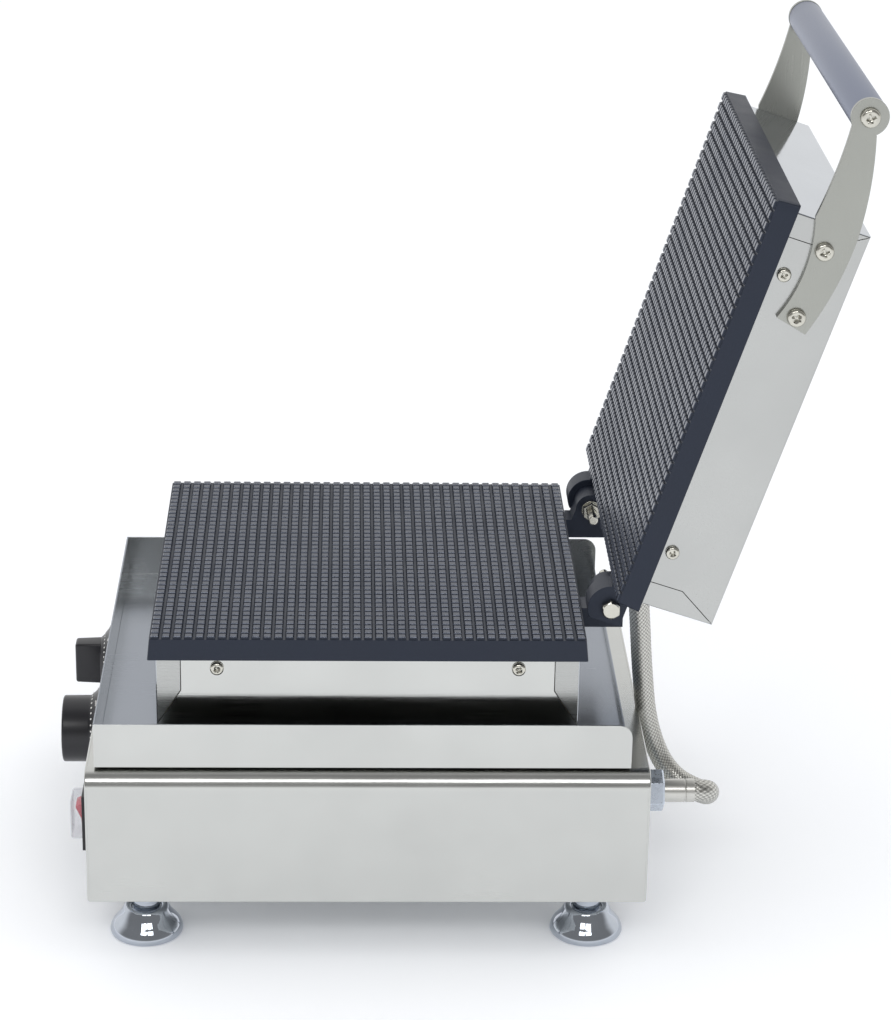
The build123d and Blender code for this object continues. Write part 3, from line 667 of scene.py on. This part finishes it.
def cast_plate(s):
    """The whole plate face up: grid of pads, drafted edge and flat back."""
    start()
    bpy.ops.mesh.primitive_grid_add(
        x_subdivisions=s.pads, y_subdivisions=s.pads, size=s.face, location=(0, 0, -s.pad_height)
    )
    bpy.ops.object.transform_apply(location=True)
    edit_all("FACE")
    bpy.ops.mesh.inset(thickness=s.groove / 2, use_individual=True)
    for inward, share in PAD_STEPS:
        bpy.ops.mesh.inset(thickness=inward, use_individual=True)
        bpy.ops.transform.translate(value=(0, 0, s.pad_height * share))
    bpy.ops.mesh.select_all(action="DESELECT")
    edit("EDGE")
    bpy.ops.mesh.select_non_manifold()
    depth = s.thickness - s.pad_height
    bpy.ops.mesh.extrude_edges_move(TRANSFORM_OT_translate={"value": (0, 0, -depth)})
    wider = 1 + 2 * s.draft / s.face
    bpy.ops.transform.resize(value=(wider, wider, 1), center_override=(0, 0, 0))
    bpy.ops.mesh.edge_face_add()
    bpy.ops.mesh.select_all(action="DESELECT")
    plate = leave()
    almost = 0.0003
    inside = s.face / 2 - almost
    for edge in plate.data.edges:
        ends = [plate.data.vertices[i].co for i in edge.vertices]
        at_corner = all(abs(co.x) > inside and abs(co.y) > inside for co in ends)
        edge.select = at_corner and abs(ends[0].z - ends[1].z) > depth / 2
    edit("EDGE")
    bpy.ops.mesh.bevel(offset=s.corner, segments=3, affect="EDGES")
    bpy.ops.mesh.select_all(action="SELECT")
    bpy.ops.mesh.normals_make_consistent(inside=False)
    plate = leave()
    for polygon in plate.data.polygons:
        polygon.material_index = int(polygon.center.z > -s.pad_height * 0.3)
    return plate


class IRON_OT_plates(bpy.types.Operator):
    """Add both cast plates with their full grid of raised pads"""
    bl_idname = "iron.plates"
    bl_label = "Cast plates"

    def execute(self, context):
        s = context.scene.iron_plates
        finishes = ["iron", "pad_iron"]
        lower = cast_plate(s)
        place = Matrix.Translation(PLATE)
        settle(lower, "lower_plate_cast", "base", finishes, ["lower_plate"], place, 30)
        upper = cast_plate(s)
        closed = Matrix.Translation(PLATE + Vector((0, 0, s.closed_gap)))
        place = LID_OPEN @ closed @ Matrix.Rotation(math.pi, 4, "Y")
        settle(upper, "upper_plate_cast", "lid", finishes, ["upper_plate"], place, 30)
        return {"FINISHED"}


# A lower lug's square back corner: its width, and its reach from the hinge's axis.
HEEL_WIDTH = 0.0165
HEEL_AHEAD = 0.004
HEEL_BEHIND = 0.009
HEEL_UNDER = 0.004

# Bar with a chamfered end in mm, which a bolt's hexagon head is cut to.
CHAMFER_BAR = [(0, 0), (4.4, 0), (4.5, 0.05), (7.0, 1.5), (7.0, 70.0), (0, 70.0)]


def square_heels(piece):
    """Fill the rounded lower back corner of both lower lugs, which the casting has square."""
    low, high = corners(piece)
    for left in (low.x, high.x - HEEL_WIDTH):
        bottom = (left, HINGE.y - HEEL_AHEAD, low.z)
        top = (left + HEEL_WIDTH, HINGE.y + HEEL_BEHIND, HINGE.z - HEEL_UNDER)
        combined(piece, block(bottom, top), "UNION")


def chamfer_heads(piece):
    """Turn the corners off the outer face of both hexagon heads."""
    for bolt in loose_parts(piece):
        low, high = corners(bolt)
        outward = 1 if low.x + high.x > 0 else -1
        head = Vector((high.x if outward > 0 else low.x, HINGE.y, HINGE.z))
        round_bar = turned(CHAMFER_BAR, 48)
        inward = Matrix.Rotation(-outward * math.pi / 2, 4, "Y")
        round_bar.matrix_world = Matrix.Translation(head) @ inward
        combined(bolt, round_bar, "INTERSECT")
        bolt.select_set(True)
    joined([piece] + [other for other in bpy.context.selected_objects if other != piece])


class IRON_OT_hinge(bpy.types.Operator):
    """Add the hinge lugs with cast edges, and their bolts, washers and nuts"""
    bl_idname = "iron.hinge"
    bl_label = "Hinge"

    def execute(self, context):
        s = context.scene.iron_sheet
        from_solid("lower_hinge_lugs", s.cast_edge, "iron", 3, work=square_heels)
        from_solid("upper_hinge_lugs", s.cast_edge, "iron", 3)
        from_solid("hinge_bolts", 0.0002, "nickel", work=chamfer_heads)
        from_solid("hinge_nuts", 0.0006, "nickel", 3)
        from_solid("hinge_washers", 0.0002, "nickel")
        return {"FINISHED"}


class IRON_OT_sheet_metal(bpy.types.Operator):
    """Add the folded stainless sheets with broken edges"""
    bl_idname = "iron.sheet_metal"
    bl_label = "Sheet metal"

    def execute(self, context):
        s = context.scene.iron_sheet
        from_solid("base_shell", s.edge, "side_steel")
        # The tray's upward faces take the floor finish, whose darker colour is a painted reflection.
        from_solid("drip_tray", s.edge, "tray_steel", second="tray_floor_painted_reflection", where=faces_up)
        from_solid("lower_casing_pan", s.edge, "tray_steel")
        from_solid("lower_casing_ends", s.edge, "end_steel", second="flap_steel")
        from_solid("upper_casing_pan", s.edge, "lid_steel")
        from_solid("upper_casing_ends", s.edge, "end_steel", second="lid_steel")
        for node in ("handle_bracket_right", "handle_bracket_left"):
            from_solid(node, s.edge * 1.5, "bracket_steel")
        from_solid("base_bottom", s.edge * 0.5, "side_steel")
        from_solid("bracket_backing_plates", s.edge, "bracket_steel")
        return {"FINISHED"}


class IRON_OT_fixings(bpy.types.Operator):
    """Add the screws, glands and ferrules"""
    bl_idname = "iron.fixings"
    bl_label = "Fixings"

    def execute(self, context):
        for node in ("lower_casing_screws", "upper_casing_screws", "bracket_screws", "grip_screws"):
            cross_screws(node, "nickel")
        cross_screws("bottom_screws", "zinc", axis=2)
        from_solid("hose_gland", 0.0004, "zinc", 3)
        from_solid("hose_locknut", 0.0003, "zinc")
        from_solid("hose_ferrule", 0.0004, "ferrule", 3)
        from_solid("mains_gland", 0.0004, "housing")
        from_solid("lid_hose_sleeve", 0.0003, "housing")
        return {"FINISHED"}


# Foot in mm: flange, bell, its rim, and the stem with its thread.
FOOT_PROFILE = (
    [(0, 0), (17.6, 0)]
    + arc((19.3, 2.3), 2.3, -90, 20, 8)
    + [(21.3, 4.2)]
    + [(20.2, 6.6), (18.3, 9.0), (16.3, 11.3), (14.8, 13.6), (13.8, 15.6), (13.1, 16.9)]
    + [(12.5, 17.6), (11.6, 18.0), (10.0, 17.9), (9.2, 17.4), (8.6, 16.5)]
    + [(8.0, 16.6), (8.0, 36.6), (7.6, 37.0), (4.0, 37.0), (4.0, 54.5), (3.5, 55.0), (0, 55.0)]
)


class IRON_OT_feet(bpy.types.Operator):
    """Add the four chromed levelling feet"""
    bl_idname = "iron.feet"
    bl_label = "Feet"

    def execute(self, context):
        for node in ("foot_front_right", "foot_front_left", "foot_rear_right", "foot_rear_left"):
            low, high = (Vector(corner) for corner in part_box(node))
            place = Matrix.Translation(((low.x + high.x) / 2, (low.y + high.y) / 2, low.z))
            foot = turned(FOOT_PROFILE, 96)
            settle(foot, node + "_turned", node, ["chrome"], [node], place, 38)
        return {"FINISHED"}


# Controls

def knob_place(node):
    """Frame of a knob: origin on its axis at the panel, Z pointing out of the panel."""
    low, high = (Vector(corner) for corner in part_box(node))
    panel_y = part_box("base_shell")[0][1]
    middle = Vector(((low.x + high.x) / 2, panel_y, (low.z + high.z) / 2))
    return Matrix.Translation(middle) @ Matrix.Rotation(math.radians(90), 4, "X")


def skirt_point(angle, radius, skirt):
    """Point and normal on a cone skirt that falls from (r0, h0) to (r1, h1)."""
    (r0, h0), (r1, h1) = skirt
    t = (radius - r0) / (r1 - r0)
    height = h0 + (h1 - h0) * t
    slope = math.atan2(h0 - h1, r1 - r0)
    out = Vector((math.cos(angle), math.sin(angle), 0))
    normal = (out * math.sin(slope) + Vector((0, 0, math.cos(slope)))).normalized()
    return out * radius + Vector((0, 0, height)), normal


def skirt_dots(count, first, step, radius, skirt, size):
    """Printed dots round a skirt."""
    start()
    bpy.ops.mesh.primitive_uv_sphere_add(segments=16, ring_count=8, radius=size)
    edit_all()
    bpy.ops.transform.resize(value=(1, 1, 0.25))
    model = leave()
    dots = []
    for i in range(count):
        angle = math.radians(first + i * step)
        point, normal = skirt_point(angle, radius, skirt)
        dot = model.copy()
        dot.data = model.data.copy()
        bpy.context.collection.objects.link(dot)
        turn = normal.to_track_quat("Z", "Y").to_matrix().to_4x4()
        dot.matrix_world = Matrix.Translation(point * MM) @ turn
        dots.append(dot)
    bpy.data.objects.remove(model)
    piece = joined(dots)
    apply_place()
    return piece


def skirt_figures(words, first, step, radius, skirt, height):
    """Printed figures round a skirt, each standing on its radius."""
    figures = []
    for i, word in enumerate(words):
        start()
        bpy.ops.object.text_add()
        text = bpy.context.object
        text.data.body = word
        text.data.size = height
        text.data.align_x = "CENTER"
        text.data.align_y = "CENTER"
        text.data.extrude = 0.00005
        bpy.ops.object.convert(target="MESH")
        figure = bpy.context.object
        angle = math.radians(first + i * step)
        point, normal = skirt_point(angle, radius, skirt)
        across = Vector((math.sin(angle), -math.cos(angle), 0))
        up = normal.cross(across)
        turn = Matrix((across, up, normal)).transposed().to_4x4()
        figure.matrix_world = Matrix.Translation((point + normal * 0.06) * MM) @ turn
        figures.append(figure)
    piece = joined(figures)
    apply_place()
    return piece


# Inner and outer (radius, height) of the printed skirts, in mm.
THERMOSTAT_SKIRT = ((20.6, 8.8), (27.0, 1.8))
TIMER_SKIRT = ((15.5, 9.0), (27.0, 1.8))

# Profiles in mm; both start with the hollow over the panel bush and the skirt's edge.
SKIRT_FOOT = [(0, 7.0), (9.0, 7.0), (9.0, 0.8), (26.6, 0.8), (27.0, 1.1), (27.0, 1.8)]
THERMOSTAT_PROFILE = (
    SKIRT_FOOT
    + [(23.6, 5.2), (21.6, 7.3), (20.8, 8.3), (20.6, 9.2), (20.6, 24.0)]
    + arc((19.4, 24.2), 1.2, 10, 90, 5)
    + [(17.4, 25.3), (17.0, 24.9), (0, 24.9)]
)
TIMER_PROFILE = SKIRT_FOOT + [(22.0, 4.6), (18.6, 6.9), (16.4, 8.6), (15.6, 9.6), (15.0, 10.0), (0, 10.0)]

# Bar across the timer knob.
BAR_MIDDLE = (0, 0, 0.01755)
BAR_SIZE = (0.0138, 0.0278, 0.0179)
BAR_TOP = (0, 0, 0.0265)
BAR_TAPER = (0.86, 0.97, 1)
BAR_ROUNDING = 0.0016


def timer_bar():
    """The timer knob's bar: tapered to its top, with rounded edges."""
    start()
    bpy.ops.mesh.primitive_cube_add(size=1, location=BAR_MIDDLE, scale=BAR_SIZE)
    bpy.ops.object.transform_apply(location=True, scale=True)
    edit("FACE")
    bpy.ops.mesh.select_all(action="DESELECT")
    bar = leave()
    for polygon in bar.data.polygons:
        polygon.select = faces_up(polygon)
    edit("FACE")
    bpy.ops.transform.resize(value=BAR_TAPER, center_override=BAR_TOP)
    bar = leave()
    apply_modifier(bar, "BEVEL", width=BAR_ROUNDING, segments=4, limit_method="ANGLE")
    return bar


class IRON_OT_knobs(bpy.types.Operator):
    """Add the thermostat's round knob and the timer's bar knob with their scales"""
    bl_idname = "iron.knobs"
    bl_label = "Knobs"

    def execute(self, context):
        s = context.scene.iron_controls
        place = knob_place("thermostat_knob")
        body, slot = "thermostat", "black_plastic"
        knob = turned(THERMOSTAT_PROFILE, 128)
        settle(knob, "thermostat_knob_turned", body, ["knob"], ["thermostat_knob"], place, 35)
        dots = skirt_dots(27, -130, 10, 22.0, THERMOSTAT_SKIRT, s.dot)
        settle(dots, "thermostat_dots", body, ["marks"], (), place, 40)
        words = [str(n) for n in range(50, 301, 50)]
        figures = skirt_figures(words, 220, -52, 24.9, THERMOSTAT_SKIRT, 0.0032)
        settle(figures, "thermostat_figures", body, ["marks"], (), place)

        place = knob_place("timer_knob")
        body = "timer"
        knob = joined([turned(TIMER_PROFILE, 128), timer_bar()])
        settle(knob, "timer_knob_moulded", body, ["knob"], ["timer_knob"], place, 35)
        dots = skirt_dots(31, -150, 10, 18.4, TIMER_SKIRT, s.dot)
        settle(dots, "timer_dots", body, ["marks"], (), place, 40)
        words = [str(n) for n in range(0, 11)]
        figures = skirt_figures(words, 240, -30, 22.6, TIMER_SKIRT, 0.0036)
        settle(figures, "timer_figures", body, ["marks"], (), place)
        return {"FINISHED"}


class IRON_OT_switch(bpy.types.Operator):
    """Add the switch: bezel, red rocker and clear splash cap"""
    bl_idname = "iron.switch"
    bl_label = "Switch"

    def execute(self, context):
        from_solid("switch_housing", 0.0006, "housing", 3)
        from_solid("rocker", 0.0005, "rocker", 3)
        from_solid("switch_cap", 0.0005, "vinyl", 3)
        return {"FINISHED"}


# Wall of the grip's tube and rounding of its ends, in mm.
GRIP_WALL = 2
GRIP_ROUNDING = 0.6


class IRON_OT_grip(bpy.types.Operator):
    """Add the round grip"""
    bl_idname = "iron.grip"
    bl_label = "Grip"

    def execute(self, context):
        low, high = (Vector(corner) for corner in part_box("grip"))
        middle = (low + high) / 2
        half = (high.x - low.x) / 2 / MM
        radius = (high.z - low.z) / 2 / MM
        inner = radius - GRIP_WALL
        round_from = radius - GRIP_ROUNDING
        profile = (
            [(inner, half), (round_from, half)]
            + arc((round_from, half - GRIP_ROUNDING), GRIP_ROUNDING, 90, 0, 4)
            + arc((round_from, -half + GRIP_ROUNDING), GRIP_ROUNDING, 0, -90, 4)
            + [(round_from, -half), (inner, -half), (inner, half)]
        )
        tube = turned(profile, 96)
        place = Matrix.Translation(middle) @ Matrix.Rotation(math.radians(90), 4, "Y")
        settle(tube, "grip_tube", "lid", ["grip"], ["grip"], place, 40)
        return {"FINISHED"}


# Hose

# Route of the hose from the gland on the body to the lid, in mm from the plate's middle.
HOSE_ROUTE = (
    (92.0, 163.0, -113.0),
    (92.0, 186.0, -113.0),
    (92.0, 204.3, -113.0),
    (71.5, 204.3, -126.0),
    (60.0, 182.5, -118.0),
    (57.0, 169.0, -88.0),
    (55.0, 164.5, -50.0),
    (54.0, 162.0, -16.0),
    (54.0, 159.55, 9.33),
    (54.0, 162.67, 18.83),
)


# How fast the bulge falls off on both sides of the bend.
BULGE_FALL = 2.5


def spline_points(points):
    """Points of the NURBS spline that follows the route."""
    curve = bpy.data.curves.new("hose_route", "CURVE")
    curve.dimensions = "3D"
    curve.resolution_u = 32
    spline = curve.splines.new("NURBS")
    spline.points.add(len(points) - 1)
    for target, point in zip(spline.points, points):
        target.co = (*point, 1.0)
    spline.order_u = 3
    spline.use_endpoint_u = True
    carrier = bpy.data.objects.new("hose_route", curve)
    bpy.context.collection.objects.link(carrier)
    bpy.context.view_layer.update()
    graph = bpy.context.evaluated_depsgraph_get()
    line = bpy.data.meshes.new_from_object(carrier.evaluated_get(graph))
    found = [v.co.copy() for v in line.vertices]
    bpy.data.objects.remove(carrier)
    bpy.data.meshes.remove(line)
    return found


def resampled(points, step):
    """The same line in even steps, and its length."""
    lengths = [0.0]
    for a, b in zip(points, points[1:]):
        lengths.append(lengths[-1] + (b - a).length)
    count = int(lengths[-1] / step)
    result = []
    index = 0
    for i in range(count + 1):
        at = lengths[-1] * i / count
        while index < len(points) - 2 and lengths[index + 1] < at:
            index += 1
        span = lengths[index + 1] - lengths[index]
        share = (at - lengths[index]) / span if span else 0.0
        result.append(points[index].lerp(points[index + 1], share))
    return result, lengths[-1]


def braid_height(turn, along, strands, pitch):
    """Height of the braid, 0 to 1, where bands cross over and under each other."""
    a = turn * strands + along / pitch
    b = turn * strands - along / pitch
    over = (math.floor(a) + math.floor(b)) % 2 == 0
    band = a % 1.0 if over else b % 1.0
    cross = b % 1.0 if over else a % 1.0
    return math.sin(math.pi * band) ** 0.6 * (0.55 + 0.45 * math.sin(math.pi * cross))


class IRON_OT_hose(bpy.types.Operator):
    """Add the braided hose from the body to the lid"""
    bl_idname = "iron.hose"
    bl_label = "Braided hose"

    def execute(self, context):
        s = context.scene.iron_hose
        route = [PLATE + Vector(point) * MM for point in HOSE_ROUTE]
        points, length = resampled(spline_points(route), s.step)
        around = s.strands * 6
        pitch = 2 * math.pi * s.radius / s.strands
        mesh = bpy.data.meshes.new("braided_hose")
        build = bmesh.new()
        shade_height = build.verts.layers.float.new("shade_height")
        side = Vector((0, 0, 1))
        rings = []
        for i, point in enumerate(points):
            before, after = points[max(i - 1, 0)], points[min(i + 1, len(points) - 1)]
            forward = (after - before).normalized()
            side = (side - forward * side.dot(forward)).normalized()
            up = forward.cross(side)
            ring = []
            at = length * i / (len(points) - 1)
            reach = (at - s.bulge_at) / s.bulge_at * BULGE_FALL
            wide = s.radius * (1 + s.bulge * math.exp(-reach ** 2))
            for j in range(around):
                angle = 2 * math.pi * j / around
                height = braid_height(j / around, at, s.strands, pitch)
                radius = wide - s.relief * (1 - height)
                outward = side * math.cos(angle) + up * math.sin(angle)
                vertex = build.verts.new(point + outward * radius)
                # This height also paints shade into the braid's low places.
                vertex[shade_height] = height
                ring.append(vertex)
            rings.append(ring)
        for first, second in zip(rings, rings[1:]):
            for j in range(around):
                k = (j + 1) % around
                build.faces.new((first[j], first[k], second[k], second[j]))
        build.faces.new(list(reversed(rings[0])))
        build.faces.new(rings[-1])
        bmesh.ops.recalc_face_normals(build, faces=build.faces)
        build.to_mesh(mesh)
        build.free()
        piece = bpy.data.objects.new("hose_braid", mesh)
        bpy.context.collection.objects.link(piece)
        only(piece)
        bpy.ops.object.shade_smooth()
        mesh.materials.append(FINISHES["braid"])
        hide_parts("braided_hose")
        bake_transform(piece)
        return {"FINISHED"}


# Finishes of the solids that keep their shape.
INSIDE_FINISHES = {
    "zinc": (
        "foot_bushes", "tray_spacers", "tray_bolts", "tray_nuts", "thermostat_shaft", "timer_shaft",
        "grip_plugs",
    ),
    "rubber": ("wire_bush",),
    "sheath": ("lower_heater", "upper_heater"),
    "wool": ("lower_insulation", "upper_insulation"),
    "nickel": ("thermostat_bulb",),
    "housing": ("thermostat_unit", "timer_unit"),
    "ceramic": ("terminal_block",),
}


class IRON_OT_inside(bpy.types.Operator):
    """Give the solids that stay as they are their real finishes"""
    bl_idname = "iron.inside"
    bl_label = "Inner parts"

    def execute(self, context):
        for finish, nodes in INSIDE_FINISHES.items():
            for node in nodes:
                materials = NODES[node].data.materials
                materials.clear()
                materials.append(FINISHES[finish])
        return {"FINISHED"}


# Stage

# Soft boxes beside the camera, aimed at the plates.
BOX_PLACES = {"front_box": (1.6, -0.41, 1.4), "rear_box": (1.6, 0.27, 1.4)}
BOX_TARGET = Vector((0, 0, 0.2))
TABLE_SIZE = 12


def seen_white(tree, lit, white):
    """Use the white shader where the camera, a gloss or a clear piece looks, else the lit one."""
    path = add(tree, "ShaderNodeLightPath")
    seen = path.outputs["Is Camera Ray"]
    for ray in ("Is Glossy Ray", "Is Transmission Ray"):
        seen = add(tree, "ShaderNodeMath", {0: seen, 1: path.outputs[ray]}, operation="MAXIMUM").outputs[0]
    return add(tree, "ShaderNodeMixShader", {0: seen, 1: lit, 2: white}).outputs[0]


def dark_behind_camera(tree, gloom):
    """White all round, but a dim room over the table behind the camera, which only gloss sees."""
    way = add(tree, "ShaderNodeTexCoord").outputs["Generated"]
    parts = add(tree, "ShaderNodeSeparateXYZ", {0: way}).outputs
    share = gloom
    for axis, low, high in (("X", -0.3, 0.25), ("Z", -0.02, 0.12)):
        limits = {"Value": parts[axis], "From Min": low, "From Max": high}
        side = add(tree, "ShaderNodeMapRange", limits, interpolation_type="SMOOTHSTEP").outputs[0]
        share = add(tree, "ShaderNodeMath", {0: side, 1: share}, operation="MULTIPLY").outputs[0]
    gloss = add(tree, "ShaderNodeLightPath").outputs["Is Glossy Ray"]
    share = add(tree, "ShaderNodeMath", {0: gloss, 1: share}, operation="MULTIPLY").outputs[0]
    return add(tree, "ShaderNodeMath", {0: 1.0, 1: share}, operation="SUBTRACT").outputs[0]


class IRON_OT_stage(bpy.types.Operator):
    """Add the table, the room light, the lamps and the camera"""
    bl_idname = "iron.stage"
    bl_label = "Stage"

    def execute(self, context):
        s = context.scene.iron_stage
        scene = context.scene
        scene.view_settings.view_transform = "Standard"

        start()
        bpy.ops.mesh.primitive_plane_add(size=TABLE_SIZE)
        floor = bpy.context.object
        floor.name = "table_top"
        material, tree = new_material("white laminate")
        mottle = noise(tree, scaled(tree, 0.3), 2.0)
        tone = toned(tree, mottle, s.floor, 0.99, 1.0)
        lit = add(tree, "ShaderNodeBsdfDiffuse", {"Color": tone}).outputs[0]
        bluish = (0.9, 0.97, 1.1, 1)
        glow = add(tree, "ShaderNodeEmission", {"Color": bluish, "Strength": s.glow}).outputs[0]
        both = add(tree, "ShaderNodeAddShader", {0: lit, 1: glow}).outputs[0]
        add(tree, "ShaderNodeOutputMaterial", {"Surface": seen_white(tree, lit, both)})
        floor.data.materials.append(material)

        world = bpy.data.worlds.new("white room")
        world.use_nodes = True
        tree = world.node_tree
        tree.nodes.clear()
        room = add(tree, "ShaderNodeBackground", {"Color": (1, 1, 1, 1), "Strength": s.sky}).outputs[0]
        seen = dark_behind_camera(tree, s.gloom)
        white = add(tree, "ShaderNodeBackground", {"Color": (1, 1, 1, 1), "Strength": seen}).outputs[0]
        add(tree, "ShaderNodeOutputWorld", {"Surface": seen_white(tree, room, white)})
        scene.world = world

        for name, place in BOX_PLACES.items():
            light = bpy.data.lights.new(name, "AREA")
            light.shape = "RECTANGLE"
            light.size = s.box_width
            light.size_y = s.box_height
            light.energy = s.box
            lamp = bpy.data.objects.new(name, light)
            lamp.location = place
            aim = BOX_TARGET - lamp.location
            lamp.rotation_euler = aim.to_track_quat("-Z", "Y").to_euler()
            scene.collection.objects.link(lamp)

        camera = bpy.data.objects.new("camera", bpy.data.cameras.new("camera"))
        camera.location = PLATE + Vector(s.camera_offset)
        camera.rotation_euler = s.camera_turn
        camera.data.lens = s.lens
        camera.data.clip_end = 50
        scene.collection.objects.link(camera)
        scene.camera = camera
        return {"FINISHED"}


class IRON_PT_panel(bpy.types.Panel):
    """Shows the settings and the buttons that add the pieces of the iron"""
    bl_idname = "IRON_PT_panel"
    bl_label = "Stroopwafel iron"
    bl_space_type = "VIEW_3D"
    bl_region_type = "UI"
    bl_category = "Waffle iron"

    def draw(self, context):
        for group in GROUPS.values():
            box = self.layout.box()
            settings = getattr(context.scene, group)
            for name in settings.bl_rna.properties.keys():
                if name not in ("rna_type", "name"):
                    box.prop(settings, name)
        for operator in OPERATORS:
            self.layout.operator(operator.bl_idname)


GROUPS = {
    PlateSettings: "iron_plates",
    SheetSettings: "iron_sheet",
    ControlSettings: "iron_controls",
    HoseSettings: "iron_hose",
    StageSettings: "iron_stage",
}

OPERATORS = (
    IRON_OT_stage,
    IRON_OT_hose,
    IRON_OT_plates,
    IRON_OT_hinge,
    IRON_OT_sheet_metal,
    IRON_OT_fixings,
    IRON_OT_feet,
    IRON_OT_knobs,
    IRON_OT_switch,
    IRON_OT_grip,
    IRON_OT_inside,
)


def register():
    for group, name in GROUPS.items():
        bpy.utils.register_class(group)
        setattr(bpy.types.Scene, name, bpy.props.PointerProperty(type=group))
    for operator in OPERATORS:
        bpy.utils.register_class(operator)
    bpy.utils.register_class(IRON_PT_panel)


def unregister():
    bpy.utils.unregister_class(IRON_PT_panel)
    for operator in reversed(OPERATORS):
        bpy.utils.unregister_class(operator)
    for group, name in GROUPS.items():
        delattr(bpy.types.Scene, name)
        bpy.utils.unregister_class(group)


def main():
    register()
    make_finishes(bpy.context.scene)
    bpy.ops.iron.stage()
    bpy.ops.iron.hose()
    bpy.ops.iron.plates()
    bpy.ops.iron.hinge()
    bpy.ops.iron.sheet_metal()
    bpy.ops.iron.fixings()
    bpy.ops.iron.feet()
    bpy.ops.iron.knobs()
    bpy.ops.iron.switch()
    bpy.ops.iron.grip()
    bpy.ops.iron.inside()


if __name__ == "__main__":
    main()
